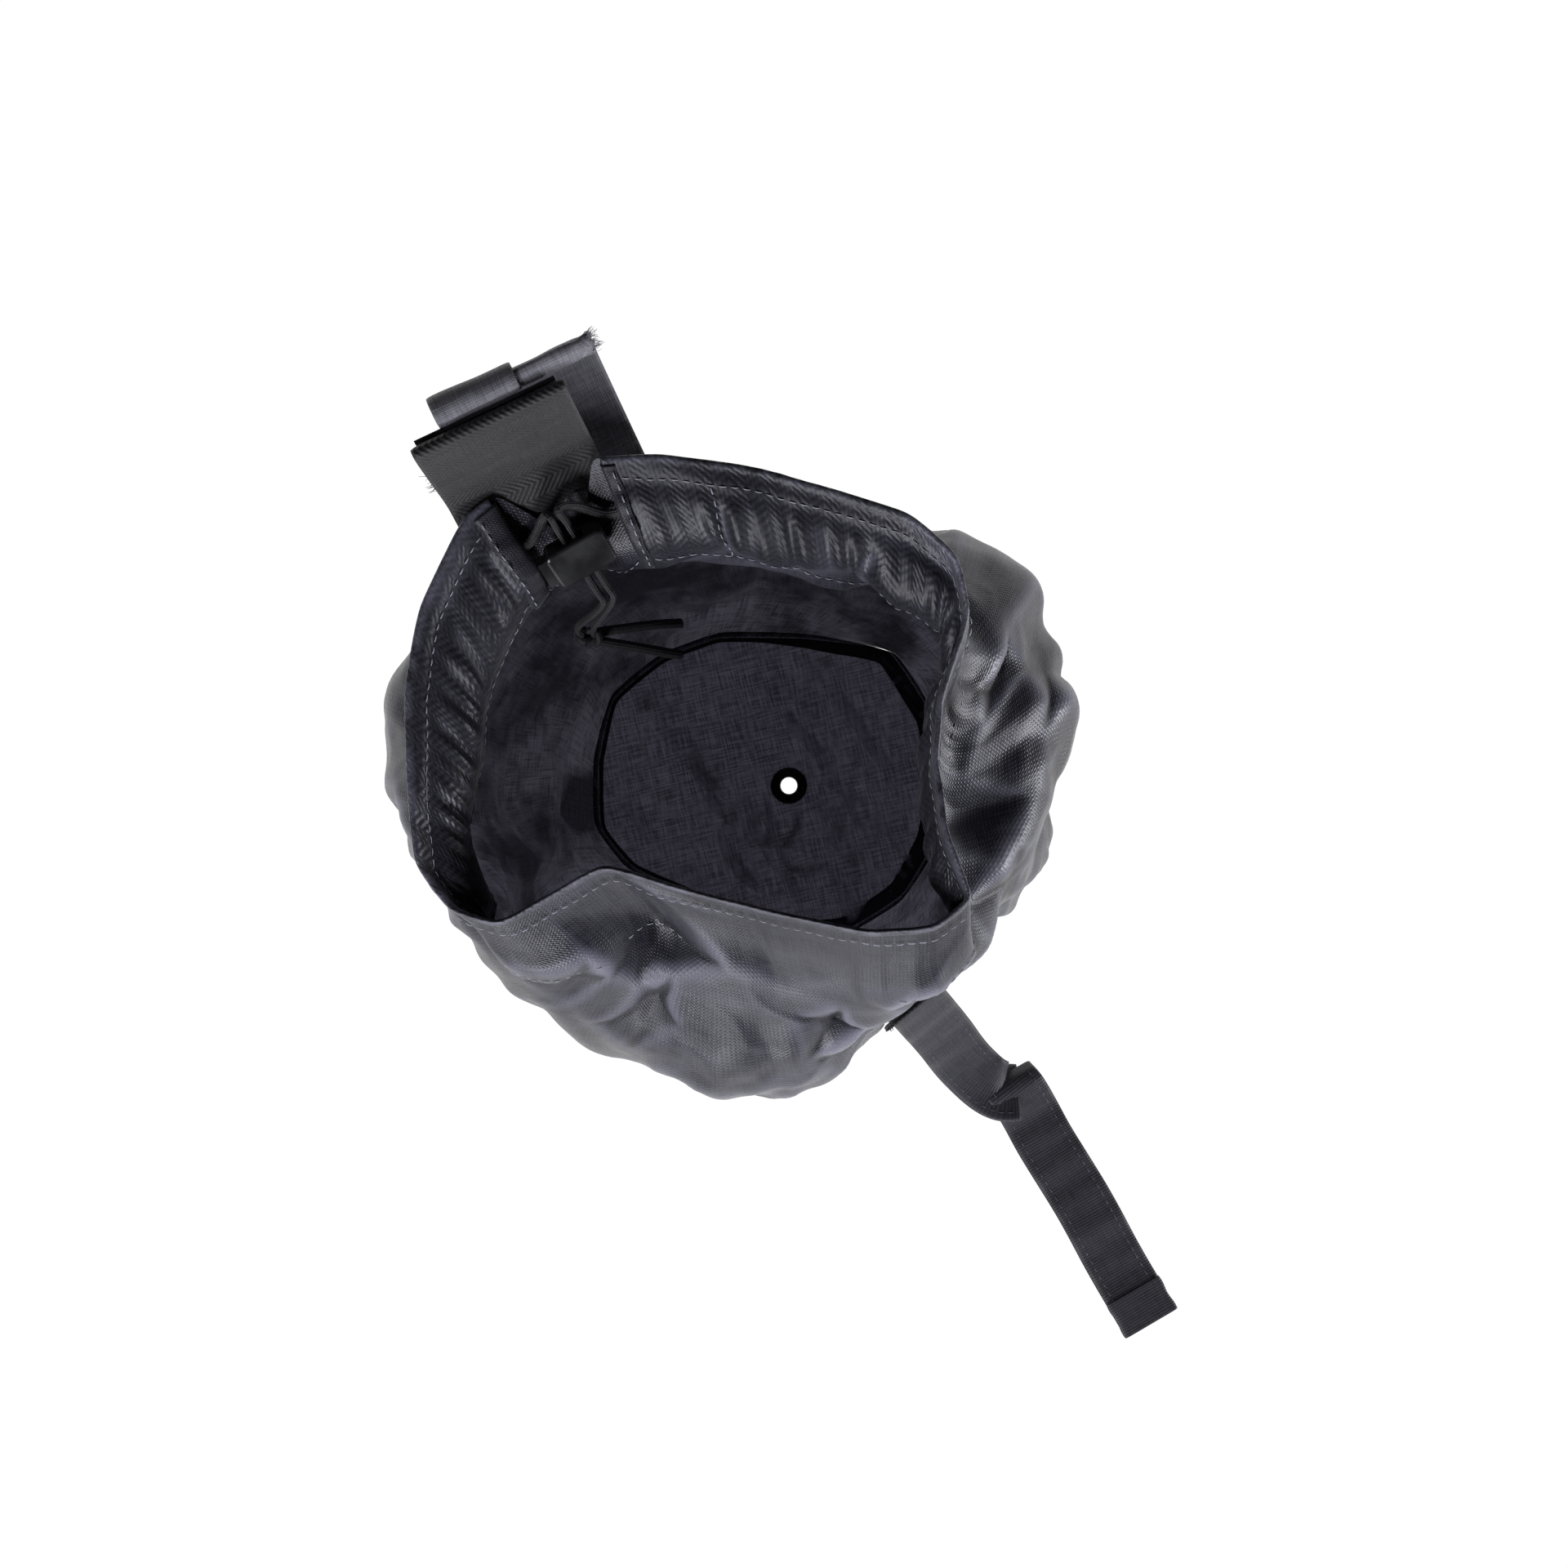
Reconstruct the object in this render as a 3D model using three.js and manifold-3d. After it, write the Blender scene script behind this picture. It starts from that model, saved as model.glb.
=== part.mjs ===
// A small drawstring rope bag for tree climbing: a round base with an eyelet, a soft wall of two
// panels, a drawstring casing with a cord lock at the mouth, a harness loop closed by hook and loop
// tape, and a narrow strap on the front. Millimetres, +Z up, +Y towards the harness loop.
// The bag stands open, with its mouth leaning back and to the left over the base.
import * as THREE from "three";
import { mergeVertices } from "three/addons/utils/BufferGeometryUtils.js";
import Module from "manifold-3d";

const wasm = await Module();
wasm.setup();

// ---------------------------------------------------------------- driving dimensions
const fabric = 1.0; // thickness of one layer of coated cloth, as modelled
const gap = 0.3; // clearance between pieces that touch
const baseSize = 1.0; // scale of the base outline
const bellySize = 1.0; // scale of the widest ring of the wall
const mouthHeight = 1.0; // scale of the mouth's height above the floor

const baseThickness = 1.2;
const bindingHeight = 8; // seam allowance that stands up round the base
const bindingThickness = 1.4;

const eyeletBore = 3.5; // radii
const eyeletNeck = 4.6;
const eyeletFlange = 7.6;
const eyeletSheet = 0.5; // metal thickness of flange and washer

const casingWidth = 0.125; // the casing's share of the wall's height
const tunnelRoom = 1.8; // slack round the cord in the casing
const cordDiameter = 3.0;
const cordSides = 8;

const lockWidth = 20; // across the cords
const lockLength = 13; // along the cords
const lockThickness = 8.4;
const lockWall = 1.5;
const lockTravel = 2; // of the button
const lockFoot = 1; // of the button, behind the cords
const springWire = 0.25; // radius
const springTurns = 2;
const cordPitch = cordDiameter + 0.7; // between the two cords in the lock

const hangerWidth = 50;
const hangerThickness = 1.4;
const hangerTop = 38; // how far the harness loop stands above the mouth
const bandWidth = 52;
const bandShift = 12; // the band lies this much to the right of the webbing
const tapeThickness = 1.2;

const strapWidth = 25;
const strapThickness = 1.8;
const strapTipLength = 17;
const strapTurn = -9; // degrees, how the strap turns aside at its kink
const strapReach = 120; // from the kink to the tip
const strapShift = -10; // how far its middle lies to the side beyond the kink
const keeperWidth = 31;
const keeperThickness = 1.2;
const keeperHeight = 17; // up the wall

// ---------------------------------------------------------------- outlines, from the left of the vent, anticlockwise
// The mouth's edge: x, y and height.
const mouthOutline = [
  [-102, 83, 262], [-116, 56, 258], [-121, 31, 255], [-121, 3, 252], [-119, -24, 248],
  [-109, -39, 244], [-94, -44, 241], [-77, -35, 243], [-60, -26, 246], [-36, -33, 244],
  [-7, -41, 240], [26, -48, 238], [48, -46, 238], [59, -36, 239], [52, -16, 238],
  [48, 8, 236], [49, 28, 238], [54, 44, 242], [57, 59, 246], [52, 74, 250],
  [36, 86, 254], [10, 94, 258], [-15, 100, 262], [-41, 103, 264], [-61, 102, 264],
  [-80, 97, 262], [-92, 91, 262],
];
// The widest ring of the wall.
const bellyOutline = [
  [-114, 76], [-130, 58], [-138, 30], [-138, 0], [-131, -28], [-112, -51], [-74, -79],
  [-24, -103], [2, -100], [30, -81], [64, -55], [82, -36], [95, 16], [92, 40], [80, 70],
  [58, 86], [12, 92], [-40, 93], [-88, 88],
];
// The base panel's edge: a round panel that wrinkles have drawn in to an uneven eight sides.
const baseOutline = [
  [-74, 36], [-80, 10], [-79, -18], [-66, -34], [-40, -46], [-4, -60], [24, -61], [48, -46],
  [61, -24], [65, 0], [60, 30], [42, 57], [8, 62], [-30, 62], [-54, 53],
];
const bellyZ = 172;
const lowRing = { x: -10, y: -3, rx: 103, ry: 94, z: 68 };
const footRing = { x: -8, y: -1, rx: 88, ry: 80, z: 17 };
const waistCentre = [-19, 1];
const mouthCentre = [-28, 24];
const waistScale = [0.9, 0.93];
const waistDrop = 28; // below the mouth's edge
const startAngle = THREE.MathUtils.degToRad(142); // where the outlines start

// Places round the wall, as shares of the mouth's edge.
const seamBack = 0.865;
const seamFront = 0.37;
const ventLeft = 0.979;
const ventRight = 0.924;
const ventDepth = 0.105; // share of the wall's height
const wallColumns = 84;
const wallRows = 15;

// ---------------------------------------------------------------- small helpers
const v3 = (x, y, z) => new THREE.Vector3(x, y, z);
const smooth = (t) => t * t * (3 - 2 * t);

const colours = {
  cloth: [0x2b2a33, 0.75],
  lining: [0x2a2933, 0.8],
  webbing: [0x302f33, 0.8],
  tape: [0x3a393f, 0.95],
  cord: [0x1e1e1f, 0.85],
  plastic: [0x0d0d0e, 0.25],
  metal: [0x111113, 0.4],
  steel: [0x8a8c90, 0.35],
};

function mesh(name, geometry, finish) {
  const [color, roughness] = colours[finish];
  const metalness = finish === "metal" || finish === "steel" ? 0.9 : 0;
  const made = new THREE.Mesh(geometry, new THREE.MeshStandardMaterial({ color, roughness, metalness }));
  made.name = name;
  return made;
}

function closedCurve(points) {
  return new THREE.CatmullRomCurve3(points, true, "centripetal");
}

// A closed geometry from rings of points: ring[i][j], closed across j, and along i or capped at both ends.
function skin(rings, closedAlong = false) {
  const across = rings[0].length;
  const positions = rings.flat().flatMap((p) => [p.x, p.y, p.z]);
  const index = [];
  const last = closedAlong ? rings.length : rings.length - 1;
  for (let i = 0; i < last; i++) {
    for (let j = 0; j < across; j++) {
      const a = i * across + j;
      const b = i * across + ((j + 1) % across);
      const c = ((i + 1) % rings.length) * across + j;
      const d = ((i + 1) % rings.length) * across + ((j + 1) % across);
      index.push(a, b, d, a, d, c);
    }
  }
  if (!closedAlong) {
    capStrip(index, 0, across, true);
    capStrip(index, (rings.length - 1) * across, across, false);
  }
  const geometry = new THREE.BufferGeometry();
  geometry.setAttribute("position", new THREE.Float32BufferAttribute(positions, 3));
  geometry.setIndex(index);
  return outward(geometry);
}

// Closes a ring whose two long sides face each other, as a strip's end does.
function capStrip(index, first, across, flip) {
  for (let j = 0; j + 1 < across / 2; j++) {
    const a = first + j;
    const b = first + j + 1;
    const c = first + across - 1 - j;
    const d = first + across - 2 - j;
    const faces = [[a, d, b], [a, c, d]];
    for (const [p, q, r] of faces) {
      if (new Set([p, q, r]).size === 3) index.push(...(flip ? [p, q, r] : [p, r, q]));
    }
  }
}

function signedVolume(geometry) {
  const p = geometry.getAttribute("position");
  const index = geometry.index.array;
  let total = 0;
  for (let i = 0; i < index.length; i += 3) {
    const [a, b, c] = [0, 1, 2].map((k) => v3().fromBufferAttribute(p, index[i + k]));
    total += a.dot(b.cross(c));
  }
  return total / 6;
}

function outward(geometry) {
  if (signedVolume(geometry) < 0) {
    const index = geometry.index.array;
    for (let i = 0; i < index.length; i += 3) {
      [index[i + 1], index[i + 2]] = [index[i + 2], index[i + 1]];
    }
  }
  geometry.computeVertexNormals();
  return geometry;
}

// ---------------------------------------------------------------- joining and cutting
function solid(geometry) {
  const bare = geometry.clone();
  for (const name of Object.keys(bare.attributes)) {
    if (name !== "position") bare.deleteAttribute(name);
  }
  const merged = mergeVertices(bare.index ? bare.toNonIndexed() : bare, 1e-4);
  return new wasm.Manifold(new wasm.Mesh({
    numProp: 3,
    vertProperties: merged.getAttribute("position").array,
    triVerts: new Uint32Array(merged.index.array),
  }));
}

function geometryOf(manifold) {
  const made = manifold.getMesh();
  const geometry = new THREE.BufferGeometry();
  geometry.setAttribute("position", new THREE.BufferAttribute(new Float32Array(made.vertProperties), 3));
  geometry.setIndex(new THREE.BufferAttribute(new Uint32Array(made.triVerts), 1));
  geometry.computeVertexNormals();
  return geometry;
}

function cut(geometry, ...tools) {
  const body = tools.reduce((rest, tool) => rest.subtract(solid(tool)), solid(geometry));
  return geometryOf(body);
}

// ---------------------------------------------------------------- the wall's surface
const mouthCurve = closedCurve(mouthOutline.map(([x, y, z]) => v3(x, y, z * mouthHeight)));
const bellyCurve = closedCurve(bellyOutline.map(([x, y]) => v3(x * bellySize, y * bellySize, bellyZ * mouthHeight)));
const baseCurve = closedCurve(baseOutline.map(([x, y]) => v3(x * baseSize, y * baseSize, 0)));

// The point of an outline at share u, where the base and belly outlines start level with the mouth's.
function ringPoint(ring, u) {
  const angle = startAngle + 2 * Math.PI * u;
  const size = (baseSize + bellySize) / 2;
  const x = size * (ring.x + ring.rx * Math.cos(angle));
  const y = size * (ring.y + ring.ry * Math.sin(angle));
  return v3(x, y, ring.z * mouthHeight);
}

// The wall from floor to mouth at share u: one curve through its six rings.
const profiles = new Map();
function profile(u) {
  const key = ((u % 1) + 1) % 1;
  if (!profiles.has(key)) {
    const mouth = mouthCurve.getPointAt(key);
    const waist = v3(
      waistCentre[0] + (mouth.x - mouthCentre[0]) * waistScale[0],
      waistCentre[1] + (mouth.y - mouthCentre[1]) * waistScale[1],
      mouth.z - waistDrop,
    );
    const rings = [baseCurve.getPointAt(key), ringPoint(footRing, key), ringPoint(lowRing, key),
      bellyCurve.getPointAt(key), waist, mouth];
    profiles.set(key, new THREE.CatmullRomCurve3(rings, false, "centripetal"));
  }
  return profiles.get(key);
}

function wallPoint(u, v) {
  const p = profile(u).getPointAt(THREE.MathUtils.clamp(v, 0, 1));
  p.z = Math.max(p.z, 0);
  return p;
}

// The direction out of the bag, averaged over a short stretch so that corners stay sound.
function wallNormal(u, v) {
  const reach = 0.012;
  const low = Math.max(v - 0.02, 0);
  const high = Math.min(v + 0.02, 1);
  const along = wallPoint(u + reach, v).sub(wallPoint(u - reach, v));
  const up = wallPoint(u, high).sub(wallPoint(u, low));
  return along.cross(up).normalize();
}

function offWall(u, v, distance) {
  return wallPoint(u, v).addScaledVector(wallNormal(u, v), distance);
}

// A curved strip that follows the wall between two offsets, from share u0 to u1.
function wallStrip(u0, u1, columns, rows, range, outer, inner) {
  const rings = [];
  for (let i = 0; i <= columns; i++) {
    const u = u0 + ((u1 - u0) * i) / columns;
    const [low, high] = range(u);
    const front = [];
    const back = [];
    for (let j = 0; j <= rows; j++) {
      const t = j / rows;
      const v = low + (high - low) * t;
      front.push(offWall(u, v, outer(t, u)));
      back.unshift(offWall(u, v, inner(t, u)));
    }
    rings.push([...front, ...back]);
  }
  return skin(rings);
}

// The top edge of the wall, notched at the vent.
function wallTop(u) {
  const key = ((u % 1) + 1) % 1;
  const middle = (ventLeft + ventRight) / 2;
  const half = (ventLeft - ventRight) / 2;
  const away = Math.abs(key - middle) / half;
  return away >= 1 ? 1 : 1 - ventDepth * (1 - away);
}

function wallPanel(name, u0, u1) {
  const slit = 0.0005; // share of the mouth's edge left between panels
  const columns = Math.round(wallColumns * (u1 - u0));
  const range = (u) => [0, wallTop(u)];
  return mesh(name, wallStrip(u0 + slit, u1 - slit, columns, wallRows, range, () => 0, () => -fabric), "cloth");
}

// ---------------------------------------------------------------- base
function basePanel() {
  const inset = fabric + 2 * gap;
  const shape = new THREE.Shape();
  const steps = 56;
  for (let i = 0; i < steps; i++) {
    const u = i / steps;
    const p = baseCurve.getPointAt(u);
    const tangent = baseCurve.getTangentAt(u);
    const x = p.x - tangent.y * inset;
    const y = p.y + tangent.x * inset;
    if (i) shape.lineTo(x, y);
    else shape.moveTo(x, y);
  }
  const panel = new THREE.ExtrudeGeometry(shape, { depth: baseThickness, bevelEnabled: false });
  const hole = new THREE.CylinderGeometry(eyeletNeck + gap, eyeletNeck + gap, 3 * baseThickness, 32);
  hole.rotateX(Math.PI / 2);
  const recess = new THREE.CylinderGeometry(eyeletFlange + gap, eyeletFlange + gap, baseThickness, 32);
  recess.rotateX(Math.PI / 2);
  recess.translate(0, 0, -baseThickness / 2 + eyeletSheet + gap);
  return mesh("base_panel", cut(panel, hole, recess), "cloth");
}

function baseBinding() {
  const inner = bindingThickness;
  const start = fabric + 2 * gap + 0.6;
  const rings = [];
  const steps = 56;
  for (let i = 0; i < steps; i++) {
    const u = i / steps;
    const p = baseCurve.getPointAt(u);
    const tangent = baseCurve.getTangentAt(u);
    const at = (inset, z) => v3(p.x - tangent.y * inset, p.y + tangent.x * inset, z);
    const low = baseThickness + gap;
    rings.push([at(start, low), at(start + inner, low), at(start + inner, low + bindingHeight), at(start, low + bindingHeight)]);
  }
  return mesh("base_binding", skin(rings, true), "lining");
}

function lathe(profilePoints, segments) {
  return new THREE.LatheGeometry(profilePoints.map(([r, z]) => new THREE.Vector2(r, z)), segments).rotateX(Math.PI / 2);
}

// Above the cloth: flange with its rolled neck. Below, in the recess: the washer.
function eyelet() {
  const low = gap;
  const top = baseThickness + gap;
  const barrel = lathe([
    [eyeletBore, low], [eyeletNeck, low], [eyeletNeck, top], [eyeletFlange, top],
    [eyeletFlange, top + eyeletSheet], [eyeletNeck, top + 2 * eyeletSheet],
    [eyeletBore + 0.3, top + 2 * eyeletSheet], [eyeletBore, top + eyeletSheet], [eyeletBore, low],
  ], 32);
  return mesh("base_eyelet", barrel, "metal");
}

function eyeletWasher() {
  const inner = eyeletNeck + gap;
  const washer = lathe([[inner, 0], [eyeletFlange, 0], [eyeletFlange, eyeletSheet], [inner, eyeletSheet], [inner, 0]], 32);
  return mesh("base_eyelet_washer", washer, "metal");
}

// ---------------------------------------------------------------- mouth: casing and drawstring
const tunnelDepth = cordDiameter + tunnelRoom;

// The facing bows away from the wall, and the cord runs in the tunnel between.
function casingFacing() {
  const range = () => [1 - casingWidth, 0.995];
  const bow = (t) => -(fabric + 3 * gap + tunnelDepth * Math.sin(Math.PI * t) ** 0.6);
  const strip = wallStrip(ventLeft - 0.996, ventRight - 0.004, 84, 6, range, bow, (t) => bow(t) - fabric * 0.8);
  return mesh("casing_facing", strip, "cloth");
}

const tunnelV = 1 - casingWidth / 2;
const tunnelOffset = -(fabric + 3 * gap + cordDiameter / 2);

function drawstringRoute() {
  const points = [];
  const steps = 60;
  for (let i = 0; i <= steps; i++) {
    const u = ventLeft - 1 + 0.006 + ((ventRight - ventLeft + 0.988) * i) / steps;
    points.push(offWall(u, tunnelV, tunnelOffset));
  }
  return new THREE.CatmullRomCurve3(points, false, "centripetal");
}

function tube(curve, radius, steps, sides = cordSides) {
  const shape = new THREE.Shape();
  for (let i = 0; i < sides; i++) {
    const a = (2 * Math.PI * i) / sides;
    const [x, y] = [radius * Math.cos(a), radius * Math.sin(a)];
    if (i) shape.lineTo(x, y);
    else shape.moveTo(x, y);
  }
  return new THREE.ExtrudeGeometry(shape, { steps, extrudePath: curve, bevelEnabled: false });
}

// ---------------------------------------------------------------- cord lock and free ends of the drawstring
// The lock lies in the vent. Its own axes: x across the cords, y along them into the bag, z away from the wall.
const lockPlace = v3(-66.6, 73.5, 254 * mouthHeight);
const lockAlong = v3(0.42, -0.68, -0.6).normalize();
const lockUp = v3(0.25, -0.56, 0.79).addScaledVector(lockAlong, -v3(0.25, -0.56, 0.79).dot(lockAlong)).normalize();
const lockAcross = lockAlong.clone().cross(lockUp);
const lockBasis = new THREE.Matrix4().makeBasis(lockAcross, lockAlong, lockUp).setPosition(lockPlace);
const inLock = (x, y, z) => v3(x, y, z).applyMatrix4(lockBasis);

const slotWidth = 2 * cordPitch + 2 * gap + 0.6;
const slotHeight = cordDiameter + 2 * gap;
const buttonWidth = lockLength - 2 * lockWall - 2 * gap;
const buttonThickness = lockThickness - 2 * lockWall - 2 * gap;
const boreEnd = -lockWidth / 2 + lockWall; // closed end of the button's bore
const buttonEnd = lockWidth / 2 + lockTravel + 1.2;
const buttonFoot = -slotWidth / 2 - lockFoot;

function box(x0, x1, y0, y1, z0, z1) {
  const made = new THREE.BoxGeometry(x1 - x0, y1 - y0, z1 - z0);
  made.translate((x0 + x1) / 2, (y0 + y1) / 2, (z0 + z1) / 2);
  return made;
}

function roundedBlock(width, length, thickness, radius) {
  const shape = new THREE.Shape();
  const [x, y] = [width / 2, length / 2];
  shape.moveTo(-x + radius, -y);
  shape.lineTo(x - radius, -y);
  shape.absarc(x - radius, -y + radius, radius, -Math.PI / 2, 0);
  shape.lineTo(x, y - radius);
  shape.absarc(x - radius, y - radius, radius, 0, Math.PI / 2);
  shape.lineTo(-x + radius, y);
  shape.absarc(-x + radius, y - radius, radius, Math.PI / 2, Math.PI);
  shape.lineTo(-x, -y + radius);
  shape.absarc(-x + radius, -y + radius, radius, Math.PI, 1.5 * Math.PI);
  const bevel = 0.8;
  const made = new THREE.ExtrudeGeometry(shape, {
    depth: thickness - 2 * bevel, bevelEnabled: true, bevelThickness: bevel, bevelSize: bevel,
    bevelOffset: -bevel, bevelSegments: 2, curveSegments: 4,
  });
  made.translate(0, 0, -thickness / 2 + bevel);
  return made;
}

function lockBody() {
  const bore = box(boreEnd, lockWidth, -buttonWidth / 2 - gap, buttonWidth / 2 + gap, -buttonThickness / 2 - gap, buttonThickness / 2 + gap);
  const slot = box(-slotWidth / 2, slotWidth / 2, -lockLength, lockLength, -slotHeight / 2, slotHeight / 2);
  const made = cut(roundedBlock(lockWidth, lockLength, lockThickness, 2.2), bore, slot);
  return mesh("cord_lock_body", made.applyMatrix4(lockBasis), "plastic");
}

function lockButton() {
  const stem = box(buttonFoot, buttonEnd, -buttonWidth / 2, buttonWidth / 2, -buttonThickness / 2, buttonThickness / 2);
  const slot = box(-slotWidth / 2, slotWidth / 2 + lockTravel, -lockLength, lockLength, -slotHeight / 2, slotHeight / 2);
  return mesh("cord_lock_button", cut(stem, slot).applyMatrix4(lockBasis), "plastic");
}

function lockSpring() {
  const radius = buttonThickness / 2 - springWire;
  const from = boreEnd + springWire + gap;
  const to = buttonFoot - springWire - gap;
  const stepsPerTurn = 12;
  const points = [];
  for (let i = 0; i <= springTurns * stepsPerTurn; i++) {
    const t = i / (springTurns * stepsPerTurn);
    const a = 2 * Math.PI * springTurns * t;
    points.push(v3(from + (to - from) * t, radius * Math.cos(a), radius * Math.sin(a)));
  }
  const coil = tube(new THREE.CatmullRomCurve3(points), springWire, points.length - 1, 6);
  return mesh("cord_lock_spring", coil.applyMatrix4(lockBasis), "steel");
}

// Each free end comes out of its end of the casing, turns into the lock, hangs to the knot and ends in a short tail.
const knotPlace = v3(-67, 50, 211 * mouthHeight);
const knotRadius = 5.2;

function freeCord(side, exitU) {
  const across = (side * cordPitch) / 2;
  const inside = offWall(exitU, tunnelV, tunnelOffset);
  const exit = offWall(exitU - side * 0.009, tunnelV, tunnelOffset);
  const leaves = offWall(exitU - side * 0.022, tunnelV + 0.02, tunnelOffset - 1.5);
  const knotTop = knotPlace.clone().add(v3((-side * cordPitch) / 2, 0.6, 1.1 * knotRadius - 0.1));
  return new THREE.CatmullRomCurve3([
    inside,
    exit,
    leaves,
    inLock(across, -17, -1),
    inLock(across, -8, 0),
    inLock(across, 0, 0),
    inLock(across, 10, 0),
    inLock(across, 19, 0),
    knotTop.clone().add(v3(-side * 0.8, 1.5, 9)),
    knotTop,
  ], false, "centripetal");
}

function tailCord(side) {
  const from = knotPlace.clone().add(v3(knotRadius - 0.1, (side * cordPitch) / 2, -2));
  return new THREE.CatmullRomCurve3([
    from,
    from.clone().add(v3(8, side * 1.2, -2.5)),
    from.clone().add(v3(17, side * 2.6, -7)),
    from.clone().add(v3(25, side * 3.6, -14)),
  ], false, "centripetal");
}

function knot() {
  const ball = new THREE.SphereGeometry(knotRadius, 20, 12);
  ball.scale(1, 0.85, 1.1);
  ball.translate(knotPlace.x, knotPlace.y, knotPlace.z);
  return mesh("drawstring_knot", ball, "cord");
}

// ---------------------------------------------------------------- harness loop
// Its own axes: x out from the bag, y up, z along the mouth's edge. Zero is on the mouth's edge at the vent.
const hangerOut = v3(-0.425, 0.905, 0).normalize();
const hangerFoot = v3(-84, 96.5, 262 * mouthHeight);
const hangerAlong = hangerOut.clone().cross(v3(0, 0, 1));
const hangerBasis = new THREE.Matrix4().makeBasis(hangerOut, v3(0, 0, 1), hangerAlong).setPosition(hangerFoot);

// A ribbon of constant thickness along a line in the x, y plane, extruded along z.
function ribbon(line, thickness, width, shift = 0) {
  const left = [];
  const right = [];
  for (let i = 0; i < line.length; i++) {
    const before = new THREE.Vector2(...line[Math.max(i - 1, 0)]);
    const here = new THREE.Vector2(...line[i]);
    const after = new THREE.Vector2(...line[Math.min(i + 1, line.length - 1)]);
    const a = here.clone().sub(before);
    const b = after.clone().sub(here);
    if (i === 0) a.copy(b);
    if (i === line.length - 1) b.copy(a);
    const bisector = a.normalize().add(b.normalize()).normalize();
    const stretch = 1 / Math.max(bisector.dot(b), 0.5);
    const normal = new THREE.Vector2(-bisector.y, bisector.x).multiplyScalar((stretch * thickness) / 2);
    left.push(here.clone().add(normal));
    right.unshift(here.clone().sub(normal));
  }
  const shape = new THREE.Shape([...left, ...right]);
  const made = new THREE.ExtrudeGeometry(shape, { depth: width, bevelEnabled: false });
  made.translate(0, 0, shift - width / 2);
  return made;
}

// A smooth line through a few points, for a ribbon.
function flowing(points, steps) {
  const curve = new THREE.SplineCurve(points.map(([x, y]) => new THREE.Vector2(x, y)));
  return curve.getSpacedPoints(steps).map((p) => [p.x, p.y]);
}

function hangerWebbing() {
  const fold = hangerThickness + gap;
  const line = [
    [-10.2, -10.5], [0.4, -1.5], [2.6, 3], [12, hangerTop - 0.5],
    [12 + 2 * fold, hangerTop - 0.5], [12 + 2 * fold - 1.2, hangerTop - 12],
  ];
  return mesh("hanger_webbing", ribbon(line, hangerThickness, hangerWidth).applyMatrix4(hangerBasis), "webbing");
}

// Hook tape on the outside of the folded top of the webbing.
function hookTape() {
  const x = 12 + 2 * (hangerThickness + gap) + hangerThickness / 2 + gap + tapeThickness / 2;
  const line = [[x - 0.7, hangerTop - 10.5], [x + 0.2, hangerTop - 2]];
  return mesh("hanger_hook_tape", ribbon(line, tapeThickness, hangerWidth - 4).applyMatrix4(hangerBasis), "tape");
}

const bandLine = flowing([
  [-20, -22.5], [-12.6, -16.4], [-6, -17], [6, -21], [19, -16], [27.5, -2], [27.5, 14], [22.5, 23],
  [20.6, 30], [21.4, 37], [24.6, 40], [29, 39.5], [31.4, 35.5], [30, 31], [27, 29.6],
], 44);

function hangerBand() {
  return mesh("hanger_band", ribbon(bandLine, fabric * 1.2, bandWidth, bandShift).applyMatrix4(hangerBasis), "cloth");
}

// ---------------------------------------------------------------- front strap
// Its own axes: x out from the wall, y up, z along the wall. Zero is on the wall at the keeper's middle.
const keeperU = 0.45;
const keeperV = 0.36;
const strapRoot = wallPoint(keeperU, keeperV);
const strapOut = v3(0.63, -0.777, 0).normalize();
const strapAlong = strapOut.clone().cross(v3(0, 0, 1));
const strapBasis = new THREE.Matrix4().makeBasis(strapOut, v3(0, 0, 1), strapAlong).setPosition(strapRoot);
const keeperOff = strapThickness + keeperThickness / 2 + 4 * gap;

const strapFloor = -strapRoot.z + strapThickness / 2;
const strapBend = [62, strapFloor + 3.5]; // where the strap meets the floor
const strapKink = 60;
const strapLowerBasis = strapBasis.clone()
  .multiply(new THREE.Matrix4().makeTranslation(strapKink, 0, strapShift))
  .multiply(new THREE.Matrix4().makeRotationY((strapTurn * Math.PI) / 180));

function keeper() {
  const half = keeperHeight / 2;
  const line = [[keeperOff, -half], [keeperOff, half]];
  const made = ribbon(line, keeperThickness, keeperWidth);
  return mesh("strap_keeper", made.applyMatrix4(strapBasis), "webbing");
}

const strapLay = keeperOff - keeperThickness / 2 - gap - strapThickness / 2; // from the wall to the strap's middle
const strapExit = -keeperHeight / 2 - 1; // where it leaves the keeper

// The sewn end of the strap, under the keeper.
function strapSewn() {
  const line = [[strapLay, keeperHeight / 2 - 1.5], [strapLay, strapExit]];
  return mesh("front_strap_root", ribbon(line, strapThickness, strapWidth).applyMatrix4(strapBasis), "webbing");
}

function strapUpper() {
  const line = flowing([
    [strapLay, strapExit - gap], [strapLay + 1, strapExit - 5], [strapLay + 7.5, strapExit - 15],
    [strapLay + 24, strapFloor * 0.62], [strapBend[0] - 3, strapBend[1] + 3],
  ], 14);
  return mesh("front_strap_upper", ribbon(line, strapThickness, strapWidth).applyMatrix4(strapBasis), "webbing");
}

function strapLower() {
  const line = flowing([
    [2, strapBend[1] + 1.8], [11, strapFloor + 1.6], [24, strapFloor + 0.2],
  ], 6);
  line.push([strapReach - strapTipLength - gap, strapFloor]);
  return mesh("front_strap_lower", ribbon(line, strapThickness, strapWidth).applyMatrix4(strapLowerBasis), "webbing");
}

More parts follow.
